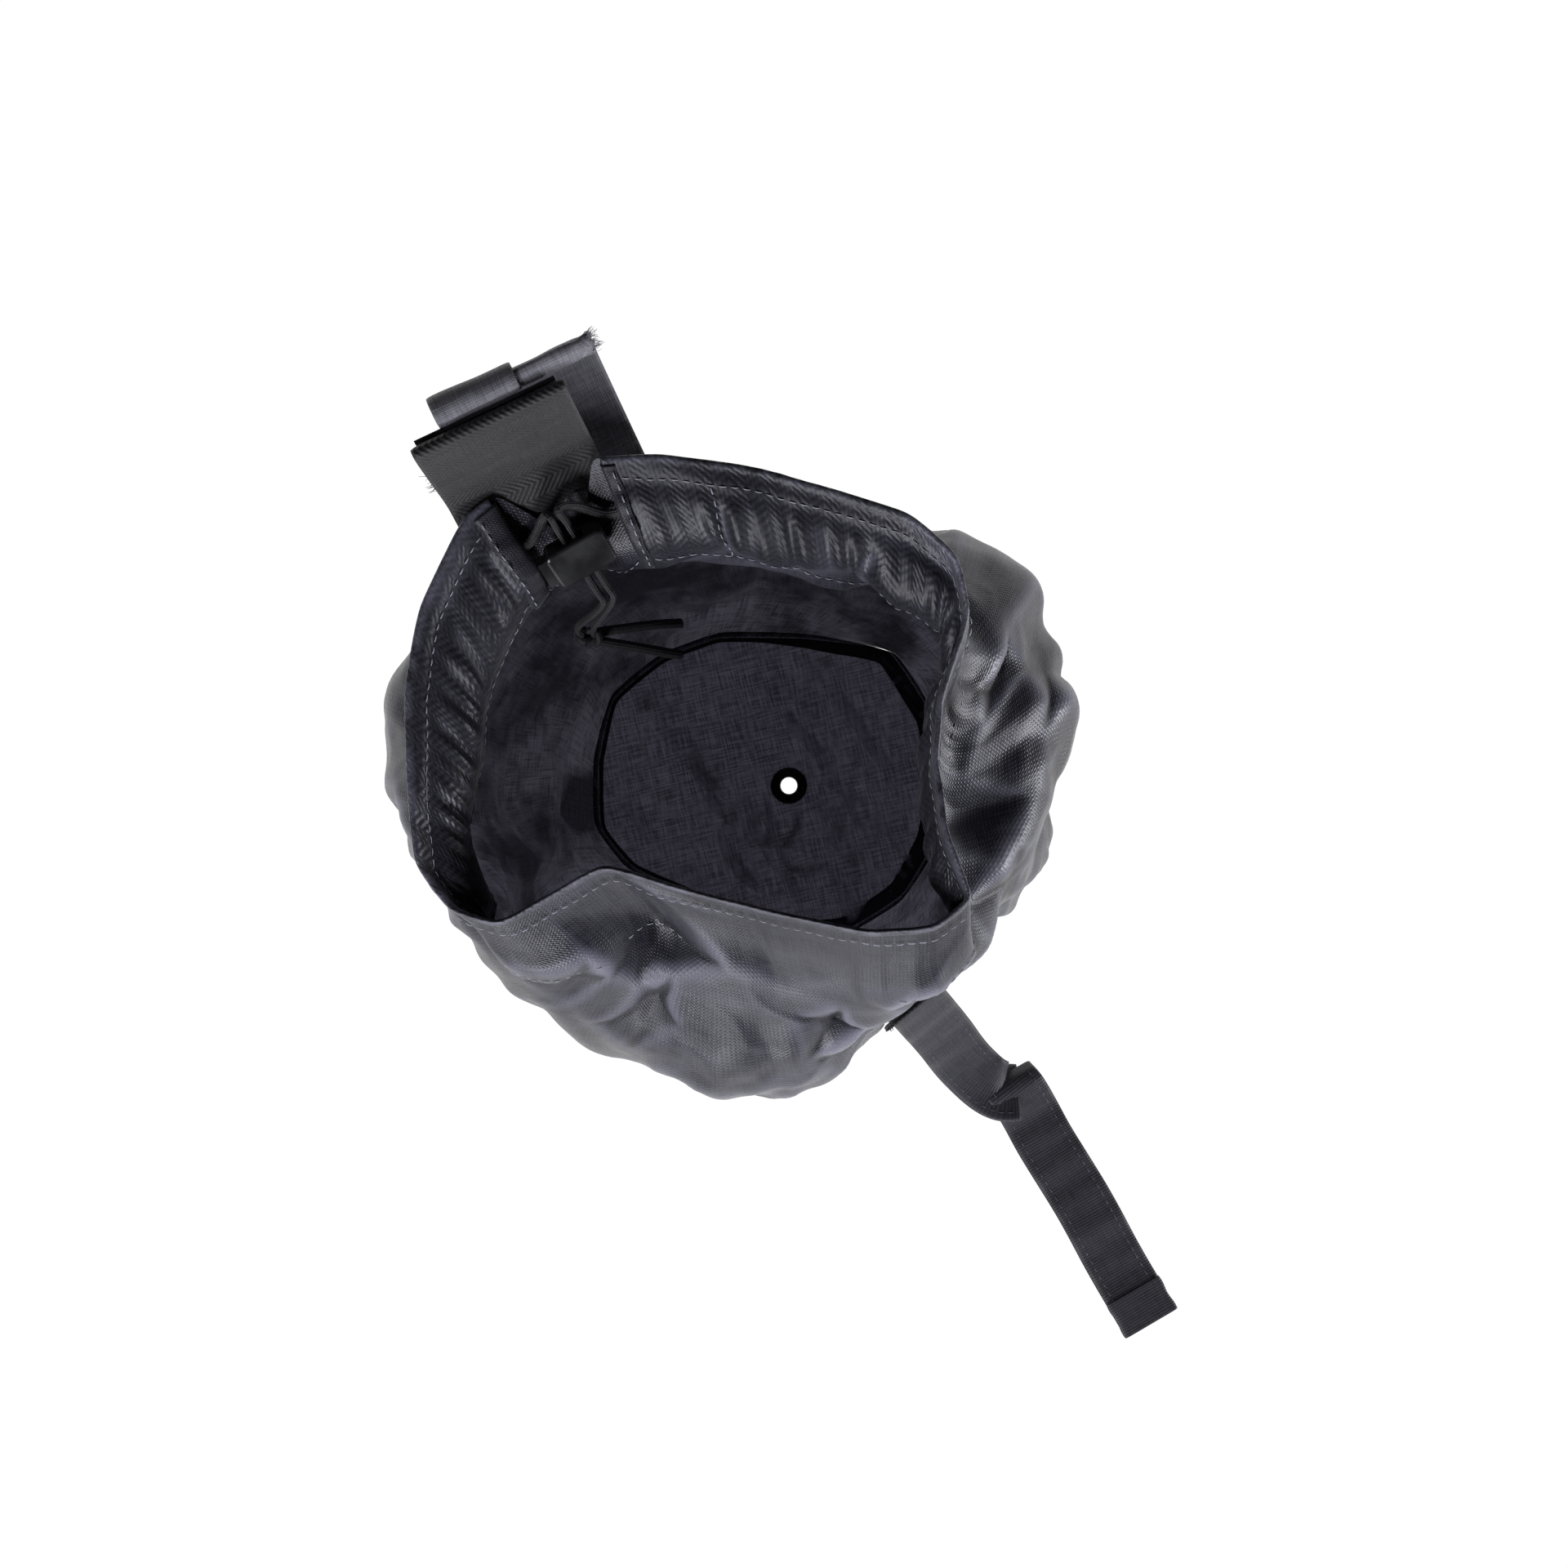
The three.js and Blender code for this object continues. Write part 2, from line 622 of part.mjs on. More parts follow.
// The turned and stitched end of the strap, one layer thicker.
function strapTip() {
  const thick = strapThickness + 0.6;
  const line = [[strapReach - strapTipLength, strapFloor + 0.3], [strapReach, strapFloor + 0.3]];
  return mesh("front_strap_tip", ribbon(line, thick, strapWidth).applyMatrix4(strapLowerBasis), "webbing");
}

// ---------------------------------------------------------------- the bag
const bag = new THREE.Group();
bag.add(
  basePanel(),
  baseBinding(),
  eyelet(),
  eyeletWasher(),
  wallPanel("wall_panel_left", seamBack - 1, seamFront),
  wallPanel("wall_panel_right", seamFront, seamBack),
  casingFacing(),
  mesh("drawstring_in_casing", tube(drawstringRoute(), cordDiameter / 2, 80), "cord"),
  mesh("drawstring_free_left", tube(freeCord(1, ventLeft - 0.9955), cordDiameter / 2, 28), "cord"),
  mesh("drawstring_free_right", tube(freeCord(-1, ventRight - 0.0045), cordDiameter / 2, 28), "cord"),
  mesh("drawstring_tail_left", tube(tailCord(-1), cordDiameter / 2, 8), "cord"),
  mesh("drawstring_tail_right", tube(tailCord(1), cordDiameter / 2, 8), "cord"),
  knot(),
  lockBody(),
  lockButton(),
  lockSpring(),
  hangerWebbing(),
  hookTape(),
  hangerBand(),
  keeper(),
  strapSewn(),
  strapUpper(),
  strapLower(),
  strapTip(),
);

// The part's origin is the middle of its footprint, on the floor.
const footprint = new THREE.Box3().setFromObject(bag, true);
const part = new THREE.Group();
bag.position.set(-(footprint.min.x + footprint.max.x) / 2, -(footprint.min.y + footprint.max.y) / 2, -footprint.min.z);
part.add(bag);

export default part;
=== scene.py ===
"""Drawstring rope bag of crumpled nylon, seen from straight above its open mouth.

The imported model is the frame. This script dresses it: cloth wall and base, hemmed mouth with its drawstring,
cord lock, harness hanger and front strap. Lengths are metres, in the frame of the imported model.
"""

from __future__ import annotations

import logging
import math
from dataclasses import dataclass, field
from enum import Enum

import bmesh
import bpy
import numpy as np
from mathutils import Matrix, Vector, noise
from mathutils.geometry import delaunay_2d_cdt


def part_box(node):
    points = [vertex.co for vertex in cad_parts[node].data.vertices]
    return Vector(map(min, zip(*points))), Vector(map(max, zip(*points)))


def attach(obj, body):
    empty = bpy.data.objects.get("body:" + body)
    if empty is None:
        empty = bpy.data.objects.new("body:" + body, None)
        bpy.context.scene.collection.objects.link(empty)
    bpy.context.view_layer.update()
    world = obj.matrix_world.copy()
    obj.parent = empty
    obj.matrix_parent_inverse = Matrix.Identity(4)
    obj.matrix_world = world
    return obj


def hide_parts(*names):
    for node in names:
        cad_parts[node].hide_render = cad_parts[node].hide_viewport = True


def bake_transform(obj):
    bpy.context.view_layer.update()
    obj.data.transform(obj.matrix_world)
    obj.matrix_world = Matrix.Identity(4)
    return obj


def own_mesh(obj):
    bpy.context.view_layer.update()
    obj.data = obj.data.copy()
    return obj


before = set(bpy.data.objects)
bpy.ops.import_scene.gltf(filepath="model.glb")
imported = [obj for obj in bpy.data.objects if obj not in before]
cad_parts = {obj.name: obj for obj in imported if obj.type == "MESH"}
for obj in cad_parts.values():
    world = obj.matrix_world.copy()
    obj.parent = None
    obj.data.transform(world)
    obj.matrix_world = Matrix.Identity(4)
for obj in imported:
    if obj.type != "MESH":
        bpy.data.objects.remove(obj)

LOG = logging.getLogger("rope_bag")
MM = 0.001
Array = np.ndarray


# ---------------------------------------------------------------- curves and grids
def unit(v: Array) -> Array:
    """Vectors of length one along the last axis."""
    v = np.asarray(v, float)
    return v / np.maximum(np.linalg.norm(v, axis=-1, keepdims=True), 1e-12)


def catmull_rom(points: Array, closed: bool = False, steps: int = 24) -> Array:
    """Dense points of the centripetal Catmull-Rom curve.

    Args:
        points: control points (k, ..., 3); any middle axes are separate curves.
        closed: whether the curve returns to its first point.
        steps: points made for each stretch.

    Returns:
        The curve's points (n, ..., 3).
    """
    p = np.asarray(points, float)
    if closed:
        ends = np.concatenate([p[-1:], p, p[:2]])
    else:
        ends = np.concatenate([2 * p[:1] - p[1:2], p, 2 * p[-1:] - p[-2:-1]])
    t = np.linspace(0, 1, steps, endpoint=False).reshape([-1] + [1] * (p.ndim - 1))
    stretches = []
    for i in range(len(ends) - 3):
        a, b, c, d = ends[i : i + 4]
        ab, bc, cd = (np.sum((q - r) ** 2, -1, keepdims=True) ** 0.25 for q, r in ((a, b), (b, c), (c, d)))
        leave = ((b - a) / ab - (c - a) / (ab + bc) + (c - b) / bc) * bc
        arrive = ((c - b) / bc - (d - b) / (bc + cd) + (d - c) / cd) * bc
        curve = (2 * t**3 - 3 * t**2 + 1) * b + (t**3 - 2 * t**2 + t) * leave
        stretches.append(curve + (3 * t**2 - 2 * t**3) * c + (t**3 - t**2) * arrive)
    if not closed:
        stretches.append(p[-1:])
    return np.concatenate(stretches)


def even(points: Array, shares: Array) -> Array:
    """Points (n, 3) of an open polyline at the given shares of its length."""
    steps = np.linalg.norm(np.diff(points, axis=0), axis=1)
    along = np.concatenate([[0], np.cumsum(steps)])
    return np.stack([np.interp(shares * along[-1], along, points[:, k]) for k in range(3)], 1)


def length_of(points: Array) -> float:
    """Length of a polyline."""
    return float(np.linalg.norm(np.diff(points, axis=0), axis=1).sum())


def smoothstep(low: float, high: float, x: Array) -> Array:
    """0 below low, 1 above high, smooth between."""
    t = np.clip((np.asarray(x, float) - low) / (high - low), 0, 1)
    return t * t * (3 - 2 * t)


def ring_noise(u: Array, seed: int, low: int, high: int) -> Array:
    """Noise of about -1 to 1 that repeats when u grows by one.

    Args:
        u: shares round the ring.
        seed: picks the phases.
        low: fewest waves round the ring.
        high: most waves round the ring.

    Returns:
        One value for each u.
    """
    draw = np.random.default_rng(seed)
    total = np.zeros_like(u, dtype=float)
    waves = range(low, high, max(1, (high - low) // 9))
    for k in waves:
        total += draw.uniform(0.4, 1) * np.sin(2 * math.pi * (k * u + draw.uniform()))
    return total / math.sqrt(len(waves))


def soften(table: Array, passes: int) -> Array:
    """A grid that closes along its first axis, averaged with its neighbours."""
    for _ in range(passes):
        table = (table * 2 + np.roll(table, 1, 0) + np.roll(table, -1, 0)) / 4
        inner = (table[:, 1:-1] * 2 + table[:, 2:] + table[:, :-2]) / 4
        table = np.concatenate([table[:, :1], inner, table[:, -1:]], axis=1)
    return table


# ---------------------------------------------------------------- meshes
def new_piece(name: str, verts: Array, faces: list, material: bpy.types.Material, uv: Array | None = None):
    """Makes a smooth-shaded mesh object.

    Args:
        name: the piece's name.
        verts: its points (n, 3).
        faces: lists of point numbers.
        material: its material.
        uv: a position (n, 2) in the cloth for each point, in metres.

    Returns:
        The object, linked to the scene.
    """
    mesh = bpy.data.meshes.new(name)
    mesh.from_pydata([tuple(map(float, v)) for v in verts], [], faces)
    mesh.polygons.foreach_set("use_smooth", [True] * len(mesh.polygons))
    if uv is not None:
        layer = mesh.uv_layers.new(name="Cloth")
        index = np.empty(len(mesh.loops), int)
        mesh.loops.foreach_get("vertex_index", index)
        layer.data.foreach_set("uv", np.asarray(uv, float)[index].ravel())
    mesh.materials.append(material)
    mesh.update()
    piece = bpy.data.objects.new(name, mesh)
    bpy.context.collection.objects.link(piece)
    return piece


def grid_faces(rows: int, columns: int, close_rows: bool = False, close_columns: bool = False) -> list:
    """Quads of a grid whose point (i, j) is number i * columns + j."""
    last_row = rows if close_rows else rows - 1
    last_column = columns if close_columns else columns - 1
    faces = []
    for i in range(last_row):
        near, far = i * columns, ((i + 1) % rows) * columns
        for j in range(last_column):
            k = (j + 1) % columns
            faces.append((near + j, far + j, far + k, near + k))
    return faces


def add_modifier(piece, kind: str, **settings):
    """Adds a modifier with these settings and returns it."""
    made = piece.modifiers.new(kind.lower(), kind)
    for key, value in settings.items():
        setattr(made, key, value)
    return made


def bake_modifiers(piece) -> None:
    """Applies all of a piece's modifiers to its mesh."""
    graph = bpy.context.evaluated_depsgraph_get()
    mesh = bpy.data.meshes.new_from_object(piece.evaluated_get(graph))
    old = piece.data
    piece.modifiers.clear()
    piece.data = mesh
    bpy.data.meshes.remove(old)


def points_of(mesh: bpy.types.Mesh) -> Array:
    """The mesh's points (n, 3)."""
    flat = np.empty(len(mesh.vertices) * 3)
    mesh.vertices.foreach_get("co", flat)
    return flat.reshape(-1, 3)


def set_points(mesh: bpy.types.Mesh, points: Array) -> None:
    """Moves the mesh's points."""
    mesh.vertices.foreach_set("co", points.ravel())
    mesh.update()


def tube(name: str, path: Array, section: Array, material, twist: float = 0.0, up: Array | None = None):
    """A closed tube along a path.

    Args:
        name: the piece's name.
        path: its middle line (n, 3).
        section: the outline (m, 2) of its cut, across and up.
        material: its material.
        twist: turns of the section from end to end.
        up: the section's up direction at the start.

    Returns:
        The tube, with the cloth position running along and round it.
    """
    tangents = unit(np.gradient(path, axis=0))
    normal = unit(np.array([0.0, 0.0, 1.0]) if up is None else np.asarray(up, float))
    rings = []
    for i, (p, t) in enumerate(zip(path, tangents)):
        normal = unit(normal - t * float(normal @ t))
        side = np.cross(t, normal)
        angle = 2 * math.pi * twist * i / (len(path) - 1)
        a, b = math.cos(angle), math.sin(angle)
        x, y = section[:, 0] * a - section[:, 1] * b, section[:, 0] * b + section[:, 1] * a
        rings.append(p + np.outer(x, side) + np.outer(y, normal))
    m = len(section)
    faces = grid_faces(len(path), m, close_columns=True)
    faces = [tuple(reversed(f)) for f in faces] + [tuple(range(m))]
    faces.append(tuple(reversed(range((len(path) - 1) * m, len(path) * m))))
    round_it = np.concatenate([[0], np.cumsum(np.linalg.norm(np.diff(section, axis=0), axis=1))])
    along = np.concatenate([[0], np.cumsum(np.linalg.norm(np.diff(path, axis=0), axis=1))])
    uv = np.stack([np.repeat(along, m), np.tile(round_it, len(path))], 1)
    piece = new_piece(name, np.concatenate(rings), faces, material, uv)
    recalculate(piece)
    return piece


def mark_crease_shading(piece, values: Array) -> None:
    """Stores the painted crease light of each point of a cloth piece: 1 on ridges for a painted highlight, 0 in
    hollows for painted shade.
    """
    painted_crease_shading = piece.data.attributes.new("painted_crease_shading", "FLOAT", "POINT")
    painted_crease_shading.data.foreach_set("value", np.clip(values, 0, 1).astype(np.float32))


def loose_threads(name: str, roots: Array, heads: Array, material, thick: float = 0.22 * MM):
    """Frayed threads of a cut edge.

    Args:
        name: the piece's name.
        roots: where each thread leaves the edge (n, 3).
        heads: where each thread points to, as an offset (n, 3).
        material: the threads' material.
        thick: a thread's width.

    Returns:
        One mesh of all the threads.
    """
    draw = np.random.default_rng(len(roots))
    verts, faces = [], []
    for root, head in zip(roots, heads):
        bend = draw.normal(0, 0.25, 3) * np.linalg.norm(head)
        path = catmull_rom(np.array([root, root + head * 0.5 + bend, root + head + bend * 0.4]), steps=4)
        side = unit(np.cross(head, draw.normal(0, 1, 3)))
        other = unit(np.cross(head, side))
        first = len(verts)
        for k, p in enumerate(path):
            size = thick / 2 * (1 - 0.6 * k / len(path))
            verts += [p + side * size, p + other * size, p - side * size, p - other * size]
        for k in range(len(path) - 1):
            a = first + 4 * k
            faces += [(a + i, a + (i + 1) % 4, a + 4 + (i + 1) % 4, a + 4 + i) for i in range(4)]
        end = first + 4 * (len(path) - 1)
        faces += [(first + 3, first + 2, first + 1, first), (end, end + 1, end + 2, end + 3)]
    piece = new_piece(name, np.array(verts), faces, material)
    recalculate(piece)
    return piece


def recalculate(piece) -> None:
    """Turns all faces outward."""
    made = bmesh.new()
    made.from_mesh(piece.data)
    bmesh.ops.recalc_face_normals(made, faces=made.faces)
    made.to_mesh(piece.data)
    made.free()


def ellipse(width: float, height: float, sides: int, ribs: int = 0, rib_depth: float = 0.0) -> Array:
    """An ellipse's outline (sides, 2), ribbed along the cord where ribs is given."""
    a = 2 * math.pi * np.arange(sides) / sides
    size = 1 - rib_depth * (0.5 - 0.5 * np.cos(ribs * a))
    return np.stack([width / 2 * np.cos(a) * size, height / 2 * np.sin(a) * size], 1)


def stitches(name: str, runs: list, material, pitch: float = 3.8 * MM, thread: float = 0.42 * MM):
    """Rows of thread lying on a surface.

    Args:
        name: the piece's name.
        runs: for each row its points (n, 3) and the surface's outward directions (n, 3).
        material: the thread's material.
        pitch: from one stitch to the next.
        thread: the thread's width.

    Returns:
        One mesh of all the stitches.
    """
    share, sides = 0.7, 6
    profile = [(-0.5, 0.0, -0.55), (-0.4, 0.75, -0.1), (-0.15, 1.0, 0.3), (0.15, 1.0, 0.3), (0.4, 0.75, -0.1), (0.5, 0.0, -0.55)]
    verts, faces = [], []
    for points, outward in runs:
        total = length_of(points)
        count = max(1, int(total / pitch))
        middles = (np.arange(count) + 0.5) / count
        at = even(points, middles)
        ahead = unit(even(points, np.clip(middles + 0.2 / count, 0, 1)) - even(points, np.clip(middles - 0.2 / count, 0, 1)))
        up = unit(even(outward, middles))
        for p, t, n in zip(at, ahead, up):
            side = unit(np.cross(t, n))
            first = len(verts)
            for s, size, rise in profile:
                centre = p + t * (s * share * pitch) + n * (rise * thread)
                if size == 0:
                    verts.append(centre)
                    continue
                for k in range(sides):
                    a = 2 * math.pi * k / sides
                    verts.append(centre + (side * math.cos(a) * 0.55 + n * math.sin(a) * 0.4) * thread * size)
            faces += capsule_faces(first, len(profile) - 2, sides)
    piece = new_piece(name, np.array(verts), faces, material)
    recalculate(piece)
    return piece


def capsule_faces(first: int, rings: int, sides: int) -> list:
    """Faces of a capsule whose two tips are its first and last points."""
    faces = []
    start = first + 1
    for k in range(sides):
        n = (k + 1) % sides
        faces.append((first, start + k, start + n))
        for r in range(rings - 1):
            a, b = start + r * sides, start + (r + 1) * sides
            faces.append((a + k, b + k, b + n, a + n))
        end = start + (rings - 1) * sides
        faces.append((end + k, start + rings * sides, end + n))
    return faces


# ---------------------------------------------------------------- finishes
class Nodes:
    """Small helper that adds and links shader nodes."""

    def __init__(self, name: str) -> None:
        """Starts an empty node material."""
        self.material = bpy.data.materials.new(name)
        self.material.use_nodes = True
        self.tree = self.material.node_tree
        self.tree.nodes.clear()
        self.output = self.tree.nodes.new("ShaderNodeOutputMaterial")

    def add(self, kind: str, inputs: dict | None = None, **settings):
        """Adds a node.

        Args:
            kind: the node's type without its ShaderNode prefix.
            inputs: socket name or number to a value or to another node's output.
            settings: the node's own settings.

        Returns:
            The node.
        """
        node = self.tree.nodes.new("ShaderNode" + kind)
        for key, value in settings.items():
            setattr(node, key, value)
        for key, value in (inputs or {}).items():
            if isinstance(value, bpy.types.NodeSocket):
                self.tree.links.new(value, node.inputs[key])
            else:
                node.inputs[key].default_value = value
        return node

    def math(self, operation: str, a, b=0.0, clamp: bool = False):
        """The output of a Math node."""
        return self.add("Math", {0: a, 1: b}, operation=operation, use_clamp=clamp).outputs[0]

    def mix(self, factor, a, b):
        """The output of a colour mix."""
        node = self.add("Mix", {0: factor}, data_type="RGBA")
        for key, value in ((6, a), (7, b)):
            if isinstance(value, bpy.types.NodeSocket):
                self.tree.links.new(value, node.inputs[key])
            else:
                node.inputs[key].default_value = (*value, 1)
        return node.outputs[2]

    def spread(self, value, low: float, high: float, to_low: float = 0.0, to_high: float = 1.0):
        """value moved from one range to another and kept inside it."""
        inputs = {0: value, 1: low, 2: high, 3: to_low, 4: to_high}
        return self.add("MapRange", inputs, clamp=True).outputs[0]

    def surface(self, shader) -> bpy.types.Material:
        """Shows this shader and returns the material."""
        self.tree.links.new(shader.outputs[0], self.output.inputs["Surface"])
        return self.material


class Weave(Enum):
    """How a cloth's threads cross."""

    PLAIN = "plain"
    HERRINGBONE = "herringbone"
    RIB = "rib"


Colour = tuple[float, float, float]


@dataclass(frozen=True)
class ClothFinish:
    """Woven nylon with its weave, painted light and shade on its creases (a painted highlight on the ridges, painted
    shade in the hollows) and the light that it lets through.
    """

    name: str
    shadow: Colour
    light: Colour
    weave: Weave = Weave.PLAIN
    pitch: float = 0.95 * MM
    roughness: float = 0.5
    sheen: float = 0.12
    through: float = 0.0
    relief: float = 0.16 * MM
    uneven: float = 0.35
    slub: float = 0.5
    # Colour of the painted highlight on crease ridges; None for no painted crease light.
    ridge_highlight: Colour | None = None
    glow: Colour = (0.62, 0.6, 0.78)
    patchy: bool = False

    def threads(self, n: Nodes):
        """Height of the woven surface, 0 to 1, with warp and weft of this pitch."""
        at = n.add("UVMap", uv_map="Cloth").outputs[0]
        split = n.add("SeparateXYZ", {0: at})
        x, y = split.outputs[0], split.outputs[1]
        turn = 2 * math.pi / self.pitch
        if self.weave is Weave.HERRINGBONE:
            rows = n.math("PINGPONG", x, 5.2 * MM)
            y = n.math("ADD", y, n.math("MULTIPLY", rows, 1.0))
            fine = n.math("SINE", n.math("MULTIPLY", x, turn))
            slant = n.math("SINE", n.math("MULTIPLY", y, turn / 2))
            return n.spread(n.math("ADD", slant, n.math("MULTIPLY", fine, 0.35)), -1.2, 1.2)
        if self.weave is Weave.RIB:
            rib = n.math("SINE", n.math("MULTIPLY", x, turn))
            fine = n.math("SINE", n.math("MULTIPLY", y, turn * 1.4))
            return n.spread(n.math("ADD", rib, n.math("MULTIPLY", fine, 0.3)), -1.2, 1.2)
        warp = n.math("SINE", n.math("MULTIPLY", x, turn))
        weft = n.math("SINE", n.math("MULTIPLY", y, turn))
        over = n.math("MULTIPLY", warp, weft)
        return n.spread(n.math("ADD", over, n.math("MULTIPLY", n.math("ADD", warp, weft), 0.35)), -1.3, 1.3)

    def slubs(self, n: Nodes, along: float, across: float):
        """Threads that are lighter or darker than their neighbours, as noise drawn out along them."""
        at = n.add("UVMap", uv_map="Cloth").outputs[0]
        scaled = n.add("Mapping", {"Vector": at, "Scale": (along, across, 1.0)}).outputs[0]
        return n.add("TexNoise", {"Vector": scaled, "Scale": 1.0, "Detail": 2.0}).outputs[0]

    def make(self) -> bpy.types.Material:
        """Builds the material."""
        n = Nodes(self.name)
        height = self.threads(n)
        place = n.add("TexCoord").outputs["Object"]
        warp = self.slubs(n, 90.0, 1400.0)
        weft = self.slubs(n, 1400.0, 90.0)
        cloudy = n.add("TexNoise", {"Vector": place, "Scale": 26.0, "Detail": 4.0, "Roughness": 0.6}).outputs[0]
        threads = n.math("MULTIPLY", n.math("ADD", warp, weft), 0.5)
        tone = n.math("ADD", n.math("MULTIPLY", height, 0.5), n.math("MULTIPLY", n.spread(threads, 0.4, 0.6), self.slub))
        tone = n.math("ADD", tone, n.math("MULTIPLY", n.math("SUBTRACT", cloudy, 0.5), self.uneven), clamp=True)
        colour = n.mix(tone, self.shadow, self.light)
        # Painted crease light: ridges are mixed towards the painted highlight colour, hollows towards a painted shade
        # at 0.35 of the shadow colour.
        if self.ridge_highlight:
            painted_crease_shading = n.add("Attribute", attribute_name="painted_crease_shading").outputs["Fac"]
            colour = n.mix(n.spread(painted_crease_shading, 0.5, 1.0, 0.0, 0.8), colour, self.ridge_highlight)
            colour = n.mix(n.spread(painted_crease_shading, 0.5, 0.0, 0.0, 0.65), colour, tuple(c * 0.35 for c in self.shadow))
        rough = n.spread(cloudy, 0.3, 0.7, self.roughness - 0.08, self.roughness + 0.1)
        bump = n.add("Bump", {"Height": height, "Distance": self.relief, "Strength": 0.6})
        fine = n.add("TexNoise", {"Vector": place, "Scale": 160.0, "Detail": 3.0}).outputs[0]
        bumped = n.add("Bump", {"Height": fine, "Distance": 0.5 * MM, "Strength": 0.35, "Normal": bump.outputs[0]})
        inputs = {
            "Base Color": colour,
            "Roughness": rough,
            "Normal": bumped.outputs[0],
            "Sheen Weight": self.sheen,
            "Sheen Roughness": 0.45,
            "Specular IOR Level": 0.5,
        }
        face = n.add("BsdfPrincipled", inputs)
        if not self.through:
            return n.surface(face)
        patches = n.math("MULTIPLY", tone, n.spread(cloudy, 0.42, 0.6, 0.1, 1.0)) if self.patchy else tone
        behind = n.add("BsdfTranslucent", {"Color": n.mix(patches, tuple(c * 0.1 for c in self.glow), self.glow)})
        return n.surface(n.add("MixShader", {0: self.through, 1: face.outputs[0], 2: behind.outputs[0]}))


@dataclass(frozen=True)
class SolidFinish:
    """Moulded plastic, lacquered metal or thread: one colour, faintly uneven and scuffed."""

    name: str
    colour: Colour
    roughness: float
    metallic: float = 0.0
    coat: float = 0.0
    specular: float = 0.5
    grain: float = 400.0
    relief: float = 0.03 * MM

    def make(self) -> bpy.types.Material:
        """Builds the material."""
        n = Nodes(self.name)
        place = n.add("TexCoord").outputs["Object"]
        grain = n.add("TexNoise", {"Vector": place, "Scale": self.grain, "Detail": 4.0}).outputs[0]
        scuff = n.add("TexNoise", {"Vector": place, "Scale": self.grain / 5, "Detail": 3.0}).outputs[0]
        lighter = tuple(min(1.0, c * 1.5 + 0.006) for c in self.colour)
        colour = n.mix(n.spread(scuff, 0.4, 0.75), self.colour, lighter)
        rough = n.spread(scuff, 0.35, 0.7, self.roughness * 0.8, self.roughness * 1.4)
        bump = n.add("Bump", {"Height": grain, "Distance": self.relief, "Strength": 0.5})
        inputs = {
            "Base Color": colour,
            "Roughness": rough,
            "Metallic": self.metallic,
            "Coat Weight": self.coat,
            "Specular IOR Level": self.specular,
            "Coat Roughness": 0.08,
            "Normal": bump.outputs[0],
        }
        return n.surface(n.add("BsdfPrincipled", inputs))


@dataclass
class Finishes:
    """All materials of the bag, made once."""

    shell: bpy.types.Material = field(init=False)
    lining: bpy.types.Material = field(init=False)
    base: bpy.types.Material = field(init=False)
    hem: bpy.types.Material = field(init=False)
    underlap: bpy.types.Material = field(init=False)
    webbing: bpy.types.Material = field(init=False)
    ribbon: bpy.types.Material = field(init=False)
    band: bpy.types.Material = field(init=False)
    tape: bpy.types.Material = field(init=False)
    cord: bpy.types.Material = field(init=False)
    thread: bpy.types.Material = field(init=False)
    dull_thread: bpy.types.Material = field(init=False)
    plastic: bpy.types.Material = field(init=False)
    lacquer: bpy.types.Material = field(init=False)
    steel: bpy.types.Material = field(init=False)

    def __post_init__(self) -> None:
        """Builds every material."""
        dark, light = (0.006, 0.0055, 0.009), (0.040, 0.039, 0.055)
        # Painted highlight colour for the crease ridges of the shell and the hem.
        ridge_highlight = (0.22, 0.215, 0.28)
        self.shell = ClothFinish("shell_nylon", dark, light, roughness=0.37, through=0.07, sheen=0.14, ridge_highlight=ridge_highlight, uneven=0.6, pitch=1.3 * MM,
            slub=1.0, patchy=True).make()
        self.hem = ClothFinish("hem_nylon", dark, light, Weave.HERRINGBONE, 1.5 * MM, 0.42, sheen=0.2, ridge_highlight=ridge_highlight, slub=0.6).make()
        self.underlap = ClothFinish("underlap_nylon", dark, light, pitch=1.0 * MM, sheen=0.2).make()
        # The seam allowance is the shell's nylon in a darker colour: painted shade of the seam band at the wall's
        # foot.
        self.lining = ClothFinish("seam_allowance", (0.006, 0.006, 0.009), (0.020, 0.019, 0.027)).make()
        # The base also gets a painted highlight colour for its fold ridges.
        self.base = ClothFinish(
            "base_nylon", (0.008, 0.007, 0.011), (0.036, 0.034, 0.047), through=0.22, glow=(0.165, 0.155, 0.215),
            ridge_highlight=(0.17, 0.165, 0.215), relief=0.3 * MM, uneven=0.45, slub=0.7,
        ).make()
        brown, grey = (0.018, 0.017, 0.018), (0.050, 0.048, 0.052)
        self.webbing = ClothFinish(
            "herringbone_webbing", brown, grey, Weave.HERRINGBONE, 1.0 * MM, 0.6, relief=0.3 * MM
        ).make()
        self.ribbon = ClothFinish("ribbed_strap", (0.018, 0.018, 0.023), (0.056, 0.055, 0.067), Weave.RIB, 1.15 * MM, 0.5).make()
        self.band = ClothFinish("band_nylon", (0.11, 0.107, 0.122), (0.36, 0.353, 0.4), pitch=0.8 * MM, through=0.04).make()
        self.tape = ClothFinish("hook_tape", (0.02, 0.02, 0.024), (0.06, 0.06, 0.07), pitch=1.4 * MM, relief=0.5 * MM).make()
        self.cord = ClothFinish("ribbed_cord", (0.008, 0.008, 0.009), (0.040, 0.040, 0.043), Weave.RIB, 0.7 * MM, 0.6).make()
        self.thread = SolidFinish("sewing_thread", (0.36, 0.36, 0.42), 0.5).make()
        self.dull_thread = SolidFinish("strap_thread", (0.085, 0.088, 0.105), 0.55).make()
        self.plastic = SolidFinish("glossy_plastic", (0.015, 0.015, 0.016), 0.26, specular=0.5).make()
        self.lacquer = SolidFinish("black_lacquer", (0.006, 0.006, 0.008), 0.3, metallic=0.4).make()
        self.steel = SolidFinish("spring_steel", (0.45, 0.46, 0.48), 0.3, metallic=1.0).make()


